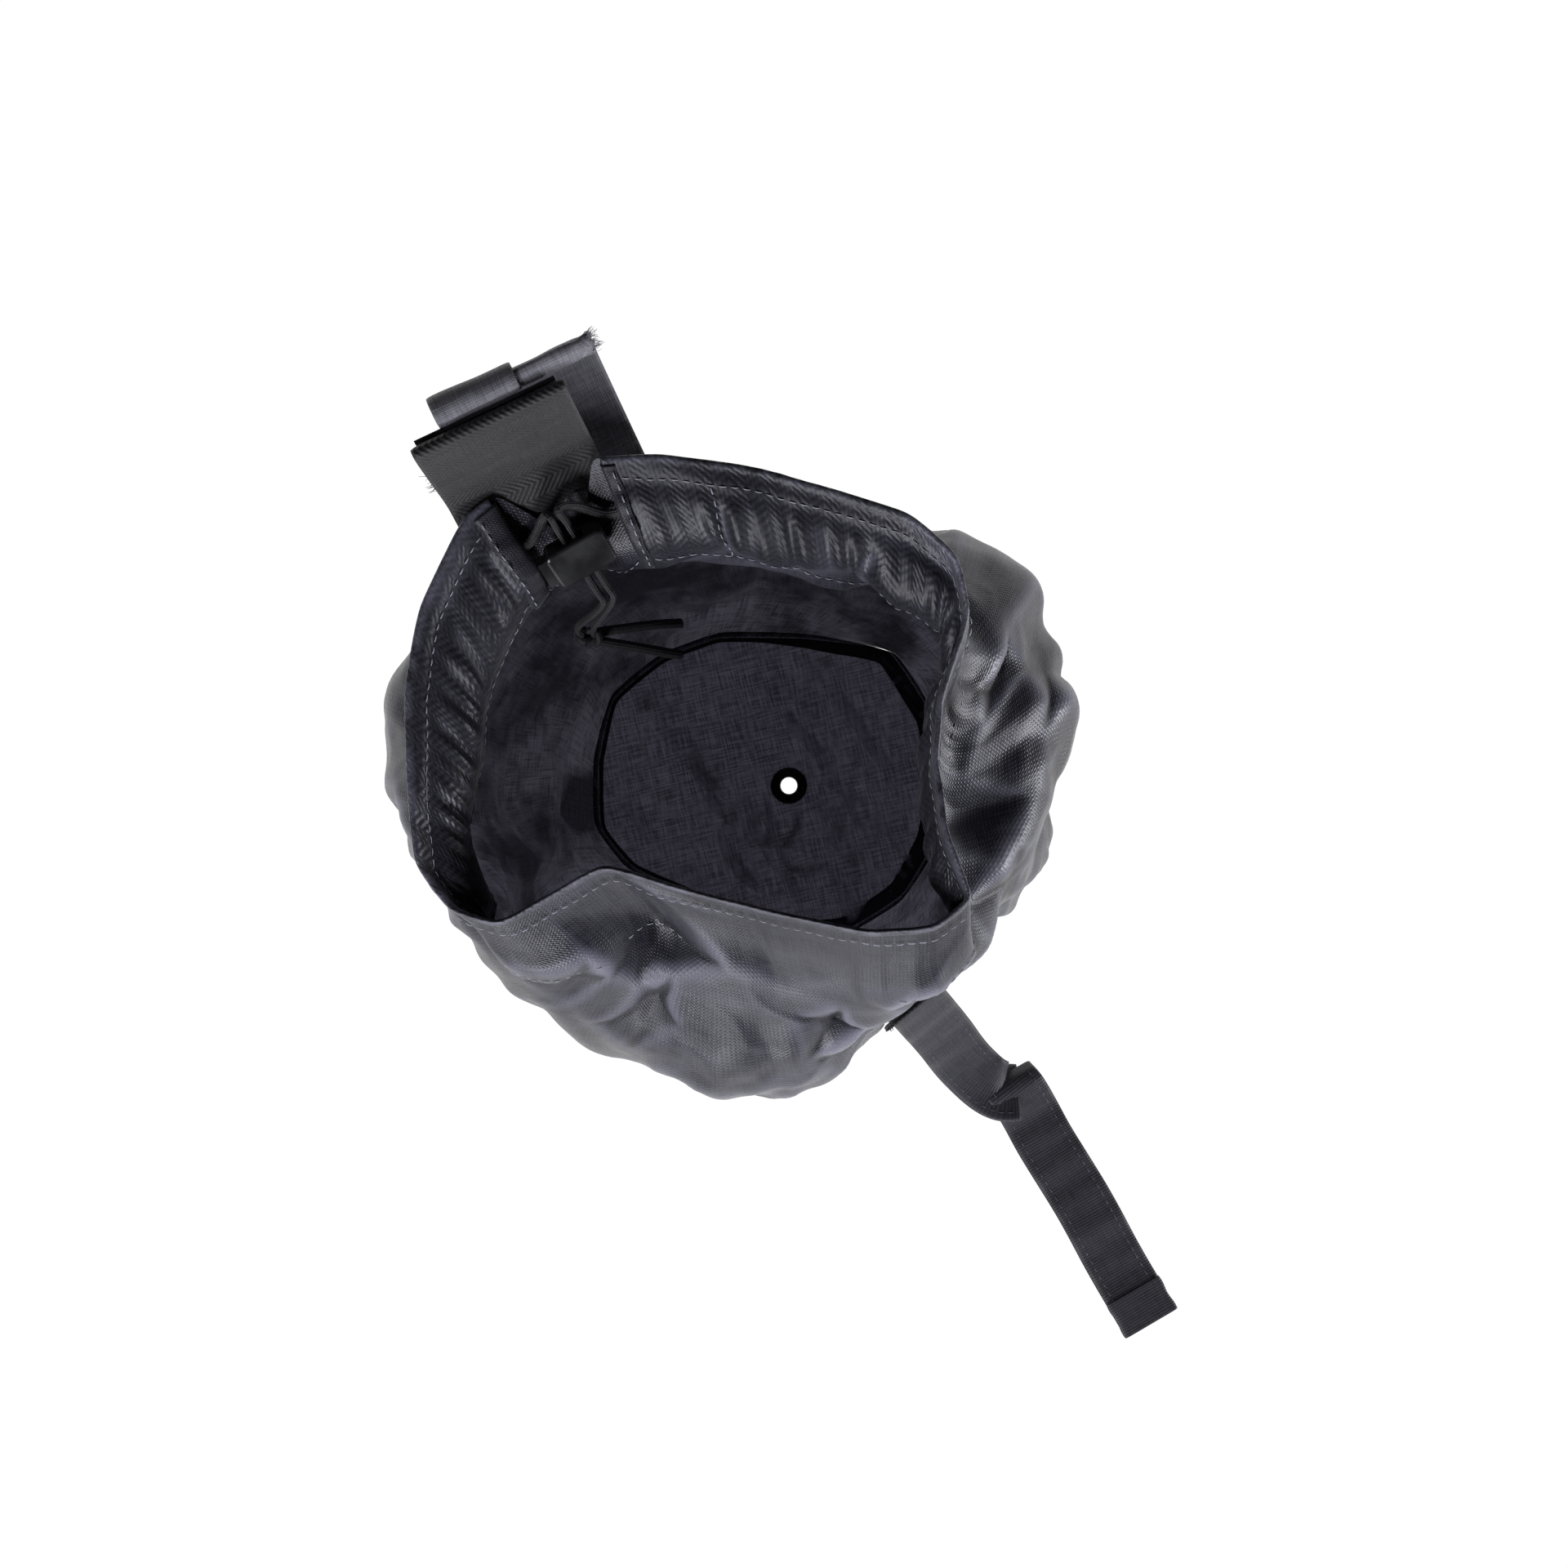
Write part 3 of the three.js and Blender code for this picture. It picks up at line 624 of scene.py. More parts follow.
# ---------------------------------------------------------------- the bag's shape
@dataclass
class BagShape:
    """The wall as one surface: u runs round the mouth from the left of the vent, v from floor to mouth."""

    mouth: list = field(default_factory=lambda: [
        (-102, 83, 262), (-116, 56, 258), (-121, 31, 255), (-121, 3, 252), (-119, -24, 248),
        (-109, -39, 244), (-94, -44, 241), (-77, -35, 243), (-60, -26, 246), (-36, -33, 244),
        (-7, -41, 240), (26, -48, 238), (48, -46, 238), (59, -36, 239), (52, -16, 238),
        (48, 8, 236), (49, 28, 238), (54, 44, 242), (57, 59, 246), (52, 74, 250),
        (37, 86, 254), (10, 94, 258), (-15, 100, 262), (-41, 103, 264), (-61, 102, 264),
        (-80, 97, 262), (-92, 91, 262),
    ])
    belly: list = field(default_factory=lambda: [
        (-114, 76), (-130, 58), (-138, 30), (-138, 0), (-131, -28), (-112, -51), (-74, -79),
        (-24, -103), (2, -100), (30, -81), (64, -55), (82, -36), (95, 16), (92, 40), (80, 70),
        (58, 86), (12, 92), (-40, 93), (-88, 88),
    ])
    base: list = field(default_factory=lambda: [
        (-74, 36), (-80, 10), (-79, -18), (-66, -34), (-40, -46), (-4, -60), (24, -61), (48, -46),
        (61, -24), (65, 0), (60, 30), (42, 57), (8, 62), (-30, 62), (-54, 53),
    ])
    belly_z: float = 172
    low_ring: tuple = (-10, -3, 103, 94, 68)
    foot_ring: tuple = (-8, -1, 88, 80, 17)
    waist_centre: tuple = (-19, 1)
    mouth_centre: tuple = (-28, 24)
    waist_scale: tuple = (0.9, 0.93)
    waist_drop: float = 28
    start_angle: float = math.radians(142)
    vent: tuple = (0.924, 0.979)
    vent_depth: float = 0.105
    casing: float = 0.125
    columns: int = 720
    rows: int = 241
    creases: list = field(default_factory=lambda: [
        (3.4, [(0.653, 0.60), (0.644, 0.679), (0.635, 0.717), (0.615, 0.733), (0.606, 0.746), (0.594, 0.762),
               (0.586, 0.779), (0.575, 0.80), (0.552, 0.86)]),
        (2.8, [(0.704, 0.60), (0.704, 0.662), (0.703, 0.721), (0.701, 0.767), (0.696, 0.80), (0.688, 0.835)]),
        (2.4, [(0.681, 0.815), (0.664, 0.83), (0.650, 0.836), (0.635, 0.842), (0.615, 0.85)]),
        (2.2, [(0.662, 0.70), (0.676, 0.75), (0.690, 0.785)]),
        (2.2, [(0.600, 0.66), (0.590, 0.70), (0.578, 0.735), (0.561, 0.77)]),
        (3.0, [(0.269, 0.965), (0.270, 0.896), (0.284, 0.838), (0.307, 0.806), (0.331, 0.825), (0.367, 0.868),
               (0.400, 0.850), (0.435, 0.833), (0.460, 0.825), (0.488, 0.88), (0.515, 0.93)]),
        (3.4, [(0.262, 0.86), (0.268, 0.80), (0.284, 0.745), (0.311, 0.696), (0.332, 0.675), (0.340, 0.60)]),
        (2.8, [(0.322, 0.785), (0.338, 0.757), (0.364, 0.765), (0.382, 0.79), (0.400, 0.81), (0.428, 0.795)]),
        (3.0, [(0.485, 0.865), (0.462, 0.80), (0.440, 0.765), (0.400, 0.725), (0.372, 0.66), (0.360, 0.60)]),
        (3.0, [(0.215, 0.79), (0.240, 0.72), (0.262, 0.67), (0.296, 0.62), (0.318, 0.55)]),
        (2.6, [(0.240, 0.98), (0.232, 0.90), (0.222, 0.82)]),
        (2.4, [(0.067, 0.62), (0.093, 0.67), (0.117, 0.70), (0.150, 0.72), (0.180, 0.77)]),
        (2.0, [(0.030, 0.80), (0.060, 0.74), (0.085, 0.76), (0.120, 0.83)]),
        (2.2, [(0.745, 0.62), (0.742, 0.70), (0.730, 0.78), (0.722, 0.86)]),
    ])

    def __post_init__(self) -> None:
        """Works out the surface and its outward directions on a fine grid."""
        low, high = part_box("base_eyelet")
        self.centre = np.array([(low[0] + high[0]) / 2, (low[1] + high[1]) / 2, 0.0])
        shares = np.arange(self.columns) / self.columns
        self.smooth = self.profiles(shares)
        self.normals = self.directions(self.smooth)
        v = np.linspace(0, 1, self.rows)[None, :]
        self.relief = self.puckers(shares[:, None], v) + self.crumples()
        self.grid = self.smooth + self.normals * self.relief[..., None]
        self.normals = self.directions(self.grid)
        self.painted_crease_shading = self.paint_crease_shading()
        self.round_mouth = length_of(np.concatenate([self.grid[:, -1], self.grid[:1, -1]]))
        self.height = float(np.mean([length_of(self.grid[i]) for i in range(0, self.columns, 40)]))

    def outline(self, points: list, z: float, shares: Array) -> Array:
        """A closed outline's points at shares of its length, in metres about the base's middle."""
        full = np.array([tuple(p) + (z,) * (3 - len(p)) for p in points], float) * MM
        dense = catmull_rom(full, closed=True)
        round_line = even(np.concatenate([dense, dense[:1]]), shares)
        straight = even(np.concatenate([full, full[:1]]), shares)
        for _ in range(14):
            straight = (np.roll(straight, 1, 0) + 2 * straight + np.roll(straight, -1, 0)) / 4
        return 0.3 * round_line + 0.7 * straight

    def profiles(self, shares: Array) -> Array:
        """The surface (columns, rows, 3) at these shares of the mouth."""
        mouth = self.outline(self.mouth, 0, shares)
        angle = self.start_angle + 2 * math.pi * shares
        rings = []
        for x, y, rx, ry, z in (self.foot_ring, self.low_ring):
            flat = [x + rx * np.cos(angle), y + ry * np.sin(angle), np.full_like(angle, z)]
            rings.append(np.stack(flat, 1) * MM)
        waist = mouth.copy()
        for k in (0, 1):
            lean = (mouth[:, k] - self.mouth_centre[k] * MM) * self.waist_scale[k]
            waist[:, k] = self.waist_centre[k] * MM + lean
        waist[:, 2] -= self.waist_drop * MM
        base = self.outline(self.base, 0, shares)
        belly = self.outline(self.belly, self.belly_z, shares)
        curves = catmull_rom(np.stack([base, rings[0], rings[1], belly, waist, mouth]), steps=30)
        rows = np.linspace(0, 1, self.rows)
        surface = np.stack([even(curves[:, i], rows) for i in range(len(shares))])
        surface[..., 2] = np.maximum(surface[..., 2], 0)
        return surface + self.centre

    def directions(self, grid: Array) -> Array:
        """Outward directions of a closed grid, eased round its corners."""
        reach = 7
        along = np.roll(grid, -reach, 0) - np.roll(grid, reach, 0)
        up = np.gradient(grid, axis=1)
        normals = unit(np.cross(along, up))
        for _ in range(4):
            normals[:, 1:-1] += normals[:, 2:] + normals[:, :-2]
            normals = unit(normals + np.roll(normals, 1, 0) + np.roll(normals, -1, 0))
        return normals

    def puckers(self, u: Array, v: Array) -> Array:
        """How far the gathered casing stands in or out, in metres."""
        line = 1 - self.casing
        band = smoothstep(line - 0.09, line, v) * (1 - smoothstep(line + 0.02, 0.985, v) * 0.75)
        gathered = smoothstep(0.60, 0.70, u) * (1 - smoothstep(0.82, 0.86, u)) + 0.5 * smoothstep(0.27, 0.32, u)
        where = 0.2 + np.clip(gathered, 0, 1) * (0.7 + 0.5 * ring_noise(u, 3, 2, 9))
        folds = ring_noise(u, 5, 9, 34) * 1.2 + ring_noise(u, 8, 50, 110) * 0.2
        return 1.1 * MM * band * np.clip(where, 0.15, 1.2) * folds

    def crease_net(self) -> tuple[list, list, list]:
        """The creases as points, heights and edges on the flat cloth, with filler points between.

        Returns:
            Points in millimetres, their heights in millimetres, and pairs of point numbers.
        """
        draw = np.random.default_rng(17)
        points, heights, edges = [], [], []
        for height, line in self.creases:
            for k, (u, v) in enumerate(line):
                if k:
                    edges.append((len(points) - 1, len(points)))
                points.append((u * 600, v * 265))
                ends = 0.35 if k in (0, len(line) - 1) else 1.0
                heights.append(2.5 * height * ends)
        taken = np.array(points)
        for i in range(26):
            for j in range(11):
                u = (i + 0.5 * (j % 2) + draw.uniform(-0.32, 0.32)) / 26
                v = (j + 0.5 + draw.uniform(-0.32, 0.32)) / 11 * 1.02
                height = draw.choice([-4.4, -3.0, -1.0, 2.0, 4.2])
                here = np.array([u * 600, v * 265])
                if np.linalg.norm(taken - here, axis=1).min() > 12:
                    points.append(tuple(here))
                    heights.append(float(height))
        count = len(points)
        for shift in (-600, 600):
            edges += [(a + len(points), b + len(points)) for a, b in edges if b < count]
            points += [(x + shift, y) for x, y in points[:count]]
            heights += heights[:count]
        return points, heights, edges

    def crumples(self) -> Array:
        """How far the crumpled cloth stands in or out: flat facets that meet in creases, in metres."""
        points, heights, edges = self.crease_net()
        frame_points = [(-700, -60), (1300, -60), (1300, 330), (-700, 330)]
        made = delaunay_2d_cdt([Vector(p) for p in points + frame_points], edges, [], 0, 1e-4)
        at = np.array([tuple(v) for v in made[0]])
        known = np.array(points)
        high = np.zeros(len(at))
        for k, origins in enumerate(made[3]):
            near = origins[0] if origins else int(np.linalg.norm(known - at[k], axis=1).argmin())
            high[k] = heights[near] if near < len(heights) else 0.0
        field_values = np.zeros((self.columns, self.rows))
        x = np.arange(self.columns) / self.columns * 600
        y = np.linspace(0, 265, self.rows)
        for corner in made[2]:
            if len(corner) != 3:
                continue
            (ax, ay), (bx, by), (cx, cy) = at[list(corner)]
            i = np.where((x >= min(ax, bx, cx) - 0.01) & (x <= max(ax, bx, cx) + 0.01))[0]
            j = np.where((y >= min(ay, by, cy) - 0.01) & (y <= max(ay, by, cy) + 0.01))[0]
            area = (by - cy) * (ax - cx) + (cx - bx) * (ay - cy)
            if not len(i) or not len(j) or abs(area) < 1e-9:
                continue
            gx, gy = x[i][:, None], y[j][None, :]
            a = ((by - cy) * (gx - cx) + (cx - bx) * (gy - cy)) / area
            b = ((cy - ay) * (gx - cx) + (ax - cx) * (gy - cy)) / area
            c = 1 - a - b
            inside = (a >= -1e-6) & (b >= -1e-6) & (c >= -1e-6)
            value = a * high[corner[0]] + b * high[corner[1]] + c * high[corner[2]]
            block = field_values[np.ix_(i, j)]
            block[inside] = value[inside]
            field_values[np.ix_(i, j)] = block
        v = np.linspace(0, 1, self.rows)[None, :]
        quiet = smoothstep(0.0, 0.12, v) * (1 - 0.72 * smoothstep(0.86, 0.96, v))
        return soften(field_values * quiet, 1) * MM

    def paint_crease_shading(self) -> Array:
        """Painted crease light: 1 where the cloth is creased outward and gets a painted highlight, 0 in its hollows
        for painted shade, 0.5 where it is flat; fainter low on the wall.
        """
        height = soften(self.crumples(), 1) / MM
        step_u, step_v = 600 / self.columns, 265 / (self.rows - 1)
        bend = (np.roll(height, 1, 0) + np.roll(height, -1, 0) - 2 * height) / step_u**2
        bend[:, 1:-1] += (height[:, 2:] + height[:, :-2] - 2 * height[:, 1:-1]) / step_v**2
        share = np.linspace(0, 1, self.rows)[None, :]
        seen = 0.25 + 0.75 * smoothstep(0.5, 0.68, share)
        return 0.5 + seen * (np.clip(0.5 - soften(bend, 2) * 2.4, 0, 1) - 0.5)

    def top(self, u: Array) -> Array:
        """The highest v of the cloth at u: 1, but for the notch of the vent."""
        key = np.mod(u, 1)
        middle, half = sum(self.vent) / 2, (self.vent[1] - self.vent[0]) / 2
        away = np.abs(key - middle) / half
        return np.where(away >= 1, 1.0, 1 - self.vent_depth * (1 - away))

    def at(self, u: Array, v: Array, off: Array | float = 0.0) -> Array:
        """Points on the surface, moved out from it by off metres."""
        return self.sample(self.grid, u, v) + self.sample_direction(u, v) * np.asarray(off, float)[..., None]

    def sample_direction(self, u: Array, v: Array) -> Array:
        """Outward directions at u, v."""
        return unit(self.sample(self.normals, u, v))

    def sample(self, table: Array, u: Array, v: Array) -> Array:
        """Values of a grid at u, v, straight between its points."""
        u, v = np.broadcast_arrays(np.asarray(u, float), np.asarray(v, float))
        x = np.mod(u, 1) * self.columns
        y = np.clip(v, 0, 1) * (self.rows - 1)
        i = np.floor(x).astype(int) % self.columns
        j = np.minimum(np.floor(y).astype(int), self.rows - 2)
        a, b = (x - np.floor(x))[..., None], (y - j)[..., None]
        k = (i + 1) % self.columns
        low = table[i, j] * (1 - a) + table[k, j] * a
        high = table[i, j + 1] * (1 - a) + table[k, j + 1] * a
        return low * (1 - b) + high * b


# ---------------------------------------------------------------- wall and base
@dataclass
class BagWall:
    """The crumpled cloth wall, from the base seam to the mouth."""

    shape: BagShape
    finishes: Finishes
    columns: int = 264
    rows: int = 92
    spare_cloth: float = 0.018
    frames: int = 30

    def build(self):
        """Makes, crumples and dresses the wall."""
        u = np.arange(self.columns) / self.columns
        v = np.linspace(0, 1, self.rows)
        uu, vv = np.meshgrid(u, v, indexing="ij")
        high = vv * self.shape.top(uu)
        points = self.shape.sample(self.shape.smooth, uu, high)
        waves = ring_noise(uu, 11, 5, 23) * np.sin(3.1 * math.pi * vv)
        waves += ring_noise(uu, 12, 3, 40) * np.sin(7.3 * math.pi * vv)
        free = smoothstep(0.0, 0.06, vv) * (1 - smoothstep(0.74, 0.84, vv))
        points = points + self.shape.sample_direction(uu, high) * (waves * free * 1.2 * MM)[..., None]
        uv = np.stack([uu * self.shape.round_mouth, high * self.shape.height], -1).reshape(-1, 2)
        faces = grid_faces(self.columns, self.rows, close_rows=True)
        wall = new_piece("bag_wall", points.reshape(-1, 3), faces, self.finishes.shell, uv)
        self.unwrap_seam(wall)
        self.remember_place(wall, uu, high)
        self.crumple(wall, free)
        self.finish(wall)
        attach(wall, "bag")
        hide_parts("wall_panel_left", "wall_panel_right")
        return wall

    def unwrap_seam(self, wall) -> None:
        """Carries the cloth position on past the last column, where the ring closes."""
        layer = wall.data.uv_layers[0].data
        full = self.shape.round_mouth
        for face in wall.data.polygons[-(self.rows - 1):]:
            for k in face.loop_indices:
                if layer[k].uv.x < full / 2:
                    layer[k].uv.x += full

    def remember_place(self, wall, u: Array, v: Array) -> None:
        """Keeps each point's u, as an angle, and v, so that they last through refining."""
        place = wall.data.attributes.new("place", "FLOAT_VECTOR", "POINT")
        turn = 2 * math.pi * u
        values = np.stack([np.cos(turn), np.sin(turn), v], -1)
        place.data.foreach_set("vector", values.ravel())

    def crumple(self, wall, free: Array) -> None:
        """Lets the spare cloth buckle between the base seam and the casing, which stay put."""
        pins = wall.vertex_groups.new(name="held")
        held = 1 - free.reshape(-1)
        for k, weight in enumerate(held):
            if weight > 0.001:
                pins.add([k], float(weight), "REPLACE")
        cloth = add_modifier(wall, "CLOTH")
        s = cloth.settings
        s.quality = 6
        s.mass = 0.12
        s.tension_stiffness = s.compression_stiffness = 22
        s.shear_stiffness = 8
        s.bending_stiffness = 0.35
        s.tension_damping = s.compression_damping = 8
        s.bending_damping = 0.6
        s.air_damping = 3
        s.shrink_min = -self.spare_cloth
        s.vertex_group_mass = "held"
        s.pin_stiffness = 3
        s.effector_weights.gravity = 0.12
        cloth.collision_settings.use_self_collision = False
        cloth.point_cache.frame_start = 1
        cloth.point_cache.frame_end = self.frames
        before = points_of(wall.data)
        for number in range(1, self.frames + 1):
            bpy.context.scene.frame_set(number)
        bake_modifiers(wall)
        moved = points_of(wall.data) - before
        grid = moved.reshape(self.columns, self.rows, 3)
        drift = soften(grid, 60).reshape(-1, 3)
        set_points(wall.data, before + 0.55 * (moved - drift))
        bpy.context.scene.frame_set(1)
        for group in list(wall.vertex_groups):
            wall.vertex_groups.remove(group)

    def finish(self, wall) -> None:
        """Refines the wall, folds it along its creases and stores their painted light and shade."""
        add_modifier(wall, "SUBSURF", levels=1, render_levels=1)
        bake_modifiers(wall)
        mesh = wall.data
        place = np.empty(len(mesh.vertices) * 3)
        mesh.attributes["place"].data.foreach_get("vector", place)
        place = place.reshape(-1, 3)
        u = np.mod(np.arctan2(place[:, 1], place[:, 0]) / (2 * math.pi), 1)
        v = place[:, 2]
        points = points_of(mesh)
        normals = self.shape.sample_direction(u, v)
        fold = self.shape.sample(self.shape.relief[..., None], u, v)[:, 0]
        quiet = smoothstep(0.0, 0.08, v) * (1 - smoothstep(0.84, 0.9, v) * 0.8)
        rough = np.array([crease(Vector(p)) for p in points]) * MM * quiet
        set_points(mesh, points + normals * (fold + rough)[:, None])
        # Painted highlight on the crease ridges and painted shade in the hollows, a little lighter where the small
        # wrinkles stand out.
        painted_crease_shading = mesh.attributes.new("painted_crease_shading", "FLOAT", "POINT")
        ridge_highlight = self.shape.sample(self.shape.painted_crease_shading[..., None], u, v)[:, 0]
        painted_crease_shading.data.foreach_set("value", ridge_highlight + rough / MM * 0.12)
        mesh.attributes.remove(mesh.attributes["place"])


def crease(p: Vector) -> float:
    """Small sharp wrinkles of crumpled nylon at a point, in millimetres."""
    wander = noise.noise_vector(p * 14) * 0.035
    coarse = 1 - abs(noise.noise((p + wander) * 21)) * 4.5
    fine = 1 - abs(noise.noise((p + wander * 0.6) * 46 + Vector((7, 3, 1)))) * 5
    where = max(0.0, noise.noise(p * 11 + Vector((3, 8, 2))) + 0.35)
    return 1.1 * where * max(coarse, 0) ** 1.4 + 0.45 * where * max(fine, 0) ** 1.4 + 0.15 * noise.noise(p * 70)


@dataclass
class BagBase:
    """The wrinkled base with its seam allowance, eyelet and washer."""

    shape: BagShape
    finishes: Finishes
    rings: int = 120
    spokes: int = 360
    binding_height: float = 3 * MM

    folds: list = field(default_factory=lambda: [
        (1.0, [(-62, 36), (-54, 21), (-41, 5), (-32, -11), (-27, -15)]),
        (0.9, [(-46, 19), (-38, 2), (-24, -8)]),
        (1.0, [(-9, 39), (0, 24), (9, 14), (14, 5), (12, -4)]),
        (0.8, [(-74, -4), (-64, -18), (-56, -31)]),
        (1.3, [(-27, -15), (-30, -22), (-27, -30), (-19, -41), (-11, -45), (-9, -36)]),
        (1.3, [(-7, -5), (-16, -11), (-17, -19), (-11, -26), (-4, -26), (7, -28)]),
        (1.1, [(-9, -31), (-1, -43), (4, -51)]),
        (1.2, [(19, -2), (23, -5), (19, -13), (17, -23), (22, -29)]),
        (0.9, [(12, 47), (27, 24), (37, 9), (45, -2)]),
        (1.0, [(29, -18), (40, -21), (48, -31)]),
        (0.8, [(19, -41), (23, -57)]),
        (0.6, [(6, 57), (6, 34)]),
    ])

    def fold_height(self, at: Array) -> Array:
        """Height in millimetres of the named folds at points (n, 2) in millimetres: a ridge beside a valley."""
        height = np.zeros(len(at))
        for depth, line in self.folds:
            curve = catmull_rom(np.array([(x, y, 0.0) for x, y in line]), steps=8)[:, :2]
            best, side = np.full(len(at), 1e9), np.zeros(len(at))
            for k, (a, b) in enumerate(zip(curve[:-1], curve[1:])):
                d = b - a
                t = np.clip(((at - a) @ d) / max(d @ d, 1e-9), 0, 1)
                off = at - a - t[:, None] * d
                far = np.hypot(off[:, 0], off[:, 1])
                fade = 0.35 + 0.65 * math.sin(math.pi * (k + 0.5) / (len(curve) - 1))
                near = far < best
                best[near] = far[near]
                side[near] = (np.sign(d[0] * off[:, 1] - d[1] * off[:, 0]) * fade)[near]
            signed = best * np.sign(side)
            profile = 3.6 * np.exp(-(((signed - 2.6) / 2.6) ** 2)) - 2.4 * np.exp(-(((signed + 0.7) / 1.2) ** 2))
            height += depth * np.abs(side) * profile
        return height

    def wrinkles(self, x: float, y: float) -> float:
        """Height of the base cloth at x, y from the eyelet, in metres."""
        away = math.hypot(x, y)
        slant = Vector((x * 0.75 + y * 0.66, (y * 0.75 - x * 0.66) * 0.42, 0))
        wander = noise.noise_vector(slant * 22) * 0.012
        long_folds = max(0.0, 1 - abs(noise.noise((slant + wander) * 30)) * 4.2) ** 1.4
        small_folds = max(0.0, 1 - abs(noise.noise(Vector((x, y, 0.3)) * 62 + wander * 30)) * 4.5) ** 1.5
        crumpled = math.exp(-(((x - 0.004) / 0.030) ** 2) - ((y + 0.026) / 0.026) ** 2)
        flat = float(smoothstep(7.5 * MM, 15 * MM, away))
        swell = 0.5 + noise.noise(Vector((x, y, 5)) * 20)
        folds = 2.0 * long_folds + 0.7 * small_folds + 4.2 * crumpled * (long_folds * 0.8 + small_folds)
        return flat * (folds + 1.0 * swell) * MM

    def build(self) -> list:
        """Makes the base cloth and its binding and dresses the eyelet."""
        shape = self.shape
        u = np.arange(self.spokes) / self.spokes
        edge = shape.at(u, np.zeros_like(u)) - shape.centre
        edge[:, 2] = 0
        edge *= 1 - 0.4 * MM / np.linalg.norm(edge, axis=1, keepdims=True)
        hole = 4.9 * MM
        shares = np.linspace(0, 1, self.rings) ** 0.85
        angle = np.arctan2(edge[:, 1], edge[:, 0])
        inner = np.stack([np.cos(angle), np.sin(angle), np.zeros_like(angle)], 1) * hole
        points = inner[:, None] * (1 - shares)[None, :, None] + edge[:, None] * shares[None, :, None]
        lift = 1.45 * MM
        flat = points.reshape(-1, 3)
        rise = np.array([self.wrinkles(p[0], p[1]) for p in flat])
        away = np.hypot(flat[:, 0], flat[:, 1])
        drape = self.fold_height(flat[:, :2] / MM) * smoothstep(7.5 * MM, 13 * MM, away)
        rise += np.maximum(drape, -0.9) * MM
        rim = np.tile(1 - smoothstep(0.93, 1.0, shares), self.spokes)
        flat[:, 2] = lift - 0.4 * MM + rise * rim
        sealed = flat.reshape(self.spokes, self.rings, 3)
        for k, v in ((-2, 0.004), (-1, 0.014)):
            sealed[:, k] = shape.at(u, np.full_like(u, v), -0.35 * MM) - shape.centre
        flat = sealed.reshape(-1, 3)
        height = rise.reshape(self.spokes, self.rings) / MM
        bend = np.gradient(np.gradient(height, axis=1), axis=1) + (
            np.roll(height, 1, 0) + np.roll(height, -1, 0) - 2 * height
        )
        # Painted light and shade of the base's folds: lighter on ridges, darker in bends and fold valleys.
        painted_crease_shading = (0.46 - soften(bend, 1) * 4.5).reshape(-1) + np.clip(drape * 0.5, -0.8, 0) + 0.12 * np.maximum(drape, 0)
        uv = np.stack([flat[:, 0] * 0.97 + flat[:, 1] * 0.24, flat[:, 1] * 0.97 - flat[:, 0] * 0.24], 1)
        faces = [tuple(reversed(f)) for f in grid_faces(self.spokes, self.rings, close_rows=True)]
        base = new_piece("bag_base", flat + shape.centre, faces, self.finishes.base, uv)
        recalculate_up(base)
        mark_crease_shading(base, painted_crease_shading)
        binding = self.binding(u)
        for piece, node, slot in ((base, "base_panel", "cloth"), (binding, "base_binding", "lining")):
            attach(piece, "bag")
            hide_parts(node)
        self.dress_eyelet()
        return [base, binding]

    def binding(self, u: Array):
        """The turned seam allowance that stands up inside the wall's foot."""
        shape = self.shape
        rows = np.linspace(0, 1, 7)
        lean = 1 + 0.10 * ring_noise(u, 21, 3, 9)
        foot = shape.at(u, np.zeros_like(u)) - shape.centre
        lean = lean * (0.2 + 0.8 * smoothstep(-20 * MM, 40 * MM, foot[:, 0]))
        reach = 0.5 * MM + np.outer(lean * 6.5 * MM, rows**1.3)
        rise = 1.6 * MM + np.outer(0.5 + 0.2 * ring_noise(u, 22, 4, 27), rows) * self.binding_height
        inward = -unit(foot * np.array([1, 1, 0]))
        points = foot[:, None] + inward[:, None] * reach[..., None]
        points[..., 2] = rise
        uv = np.stack([np.repeat(u * 0.45, 7), np.tile(rows * 0.01, len(u))], 1)
        faces = grid_faces(len(u), 7, close_rows=True)
        # Its darker nylon is painted shade of the seam band.
        piece = new_piece("base_seam_allowance", (points + shape.centre).reshape(-1, 3), faces, self.finishes.lining, uv)
        add_modifier(piece, "SOLIDIFY", thickness=0.7 * MM, offset=0.0)
        bake_modifiers(piece)
        return piece

    def dress_eyelet(self) -> None:
        """Lacquers the eyelet and its washer."""
        for node in ("base_eyelet", "base_eyelet_washer"):
            dress_node(node, self.finishes.lacquer)


def recalculate_up(piece) -> None:
    """Turns an open sheet's faces so that its upper side faces out."""
    mesh = piece.data
    total = sum(face.normal.z for face in mesh.polygons)
    if total < 0:
        mesh.flip_normals()


def dress_node(node: str, material: bpy.types.Material, bevel: float = 0.0) -> None:
    """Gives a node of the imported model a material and, if asked, eased edges."""
    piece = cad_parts[node]
    piece.data.materials.clear()
    piece.data.materials.append(material)
    if bevel:
        add_modifier(piece, "BEVEL", width=bevel, segments=2, limit_method="ANGLE", angle_limit=math.radians(35))


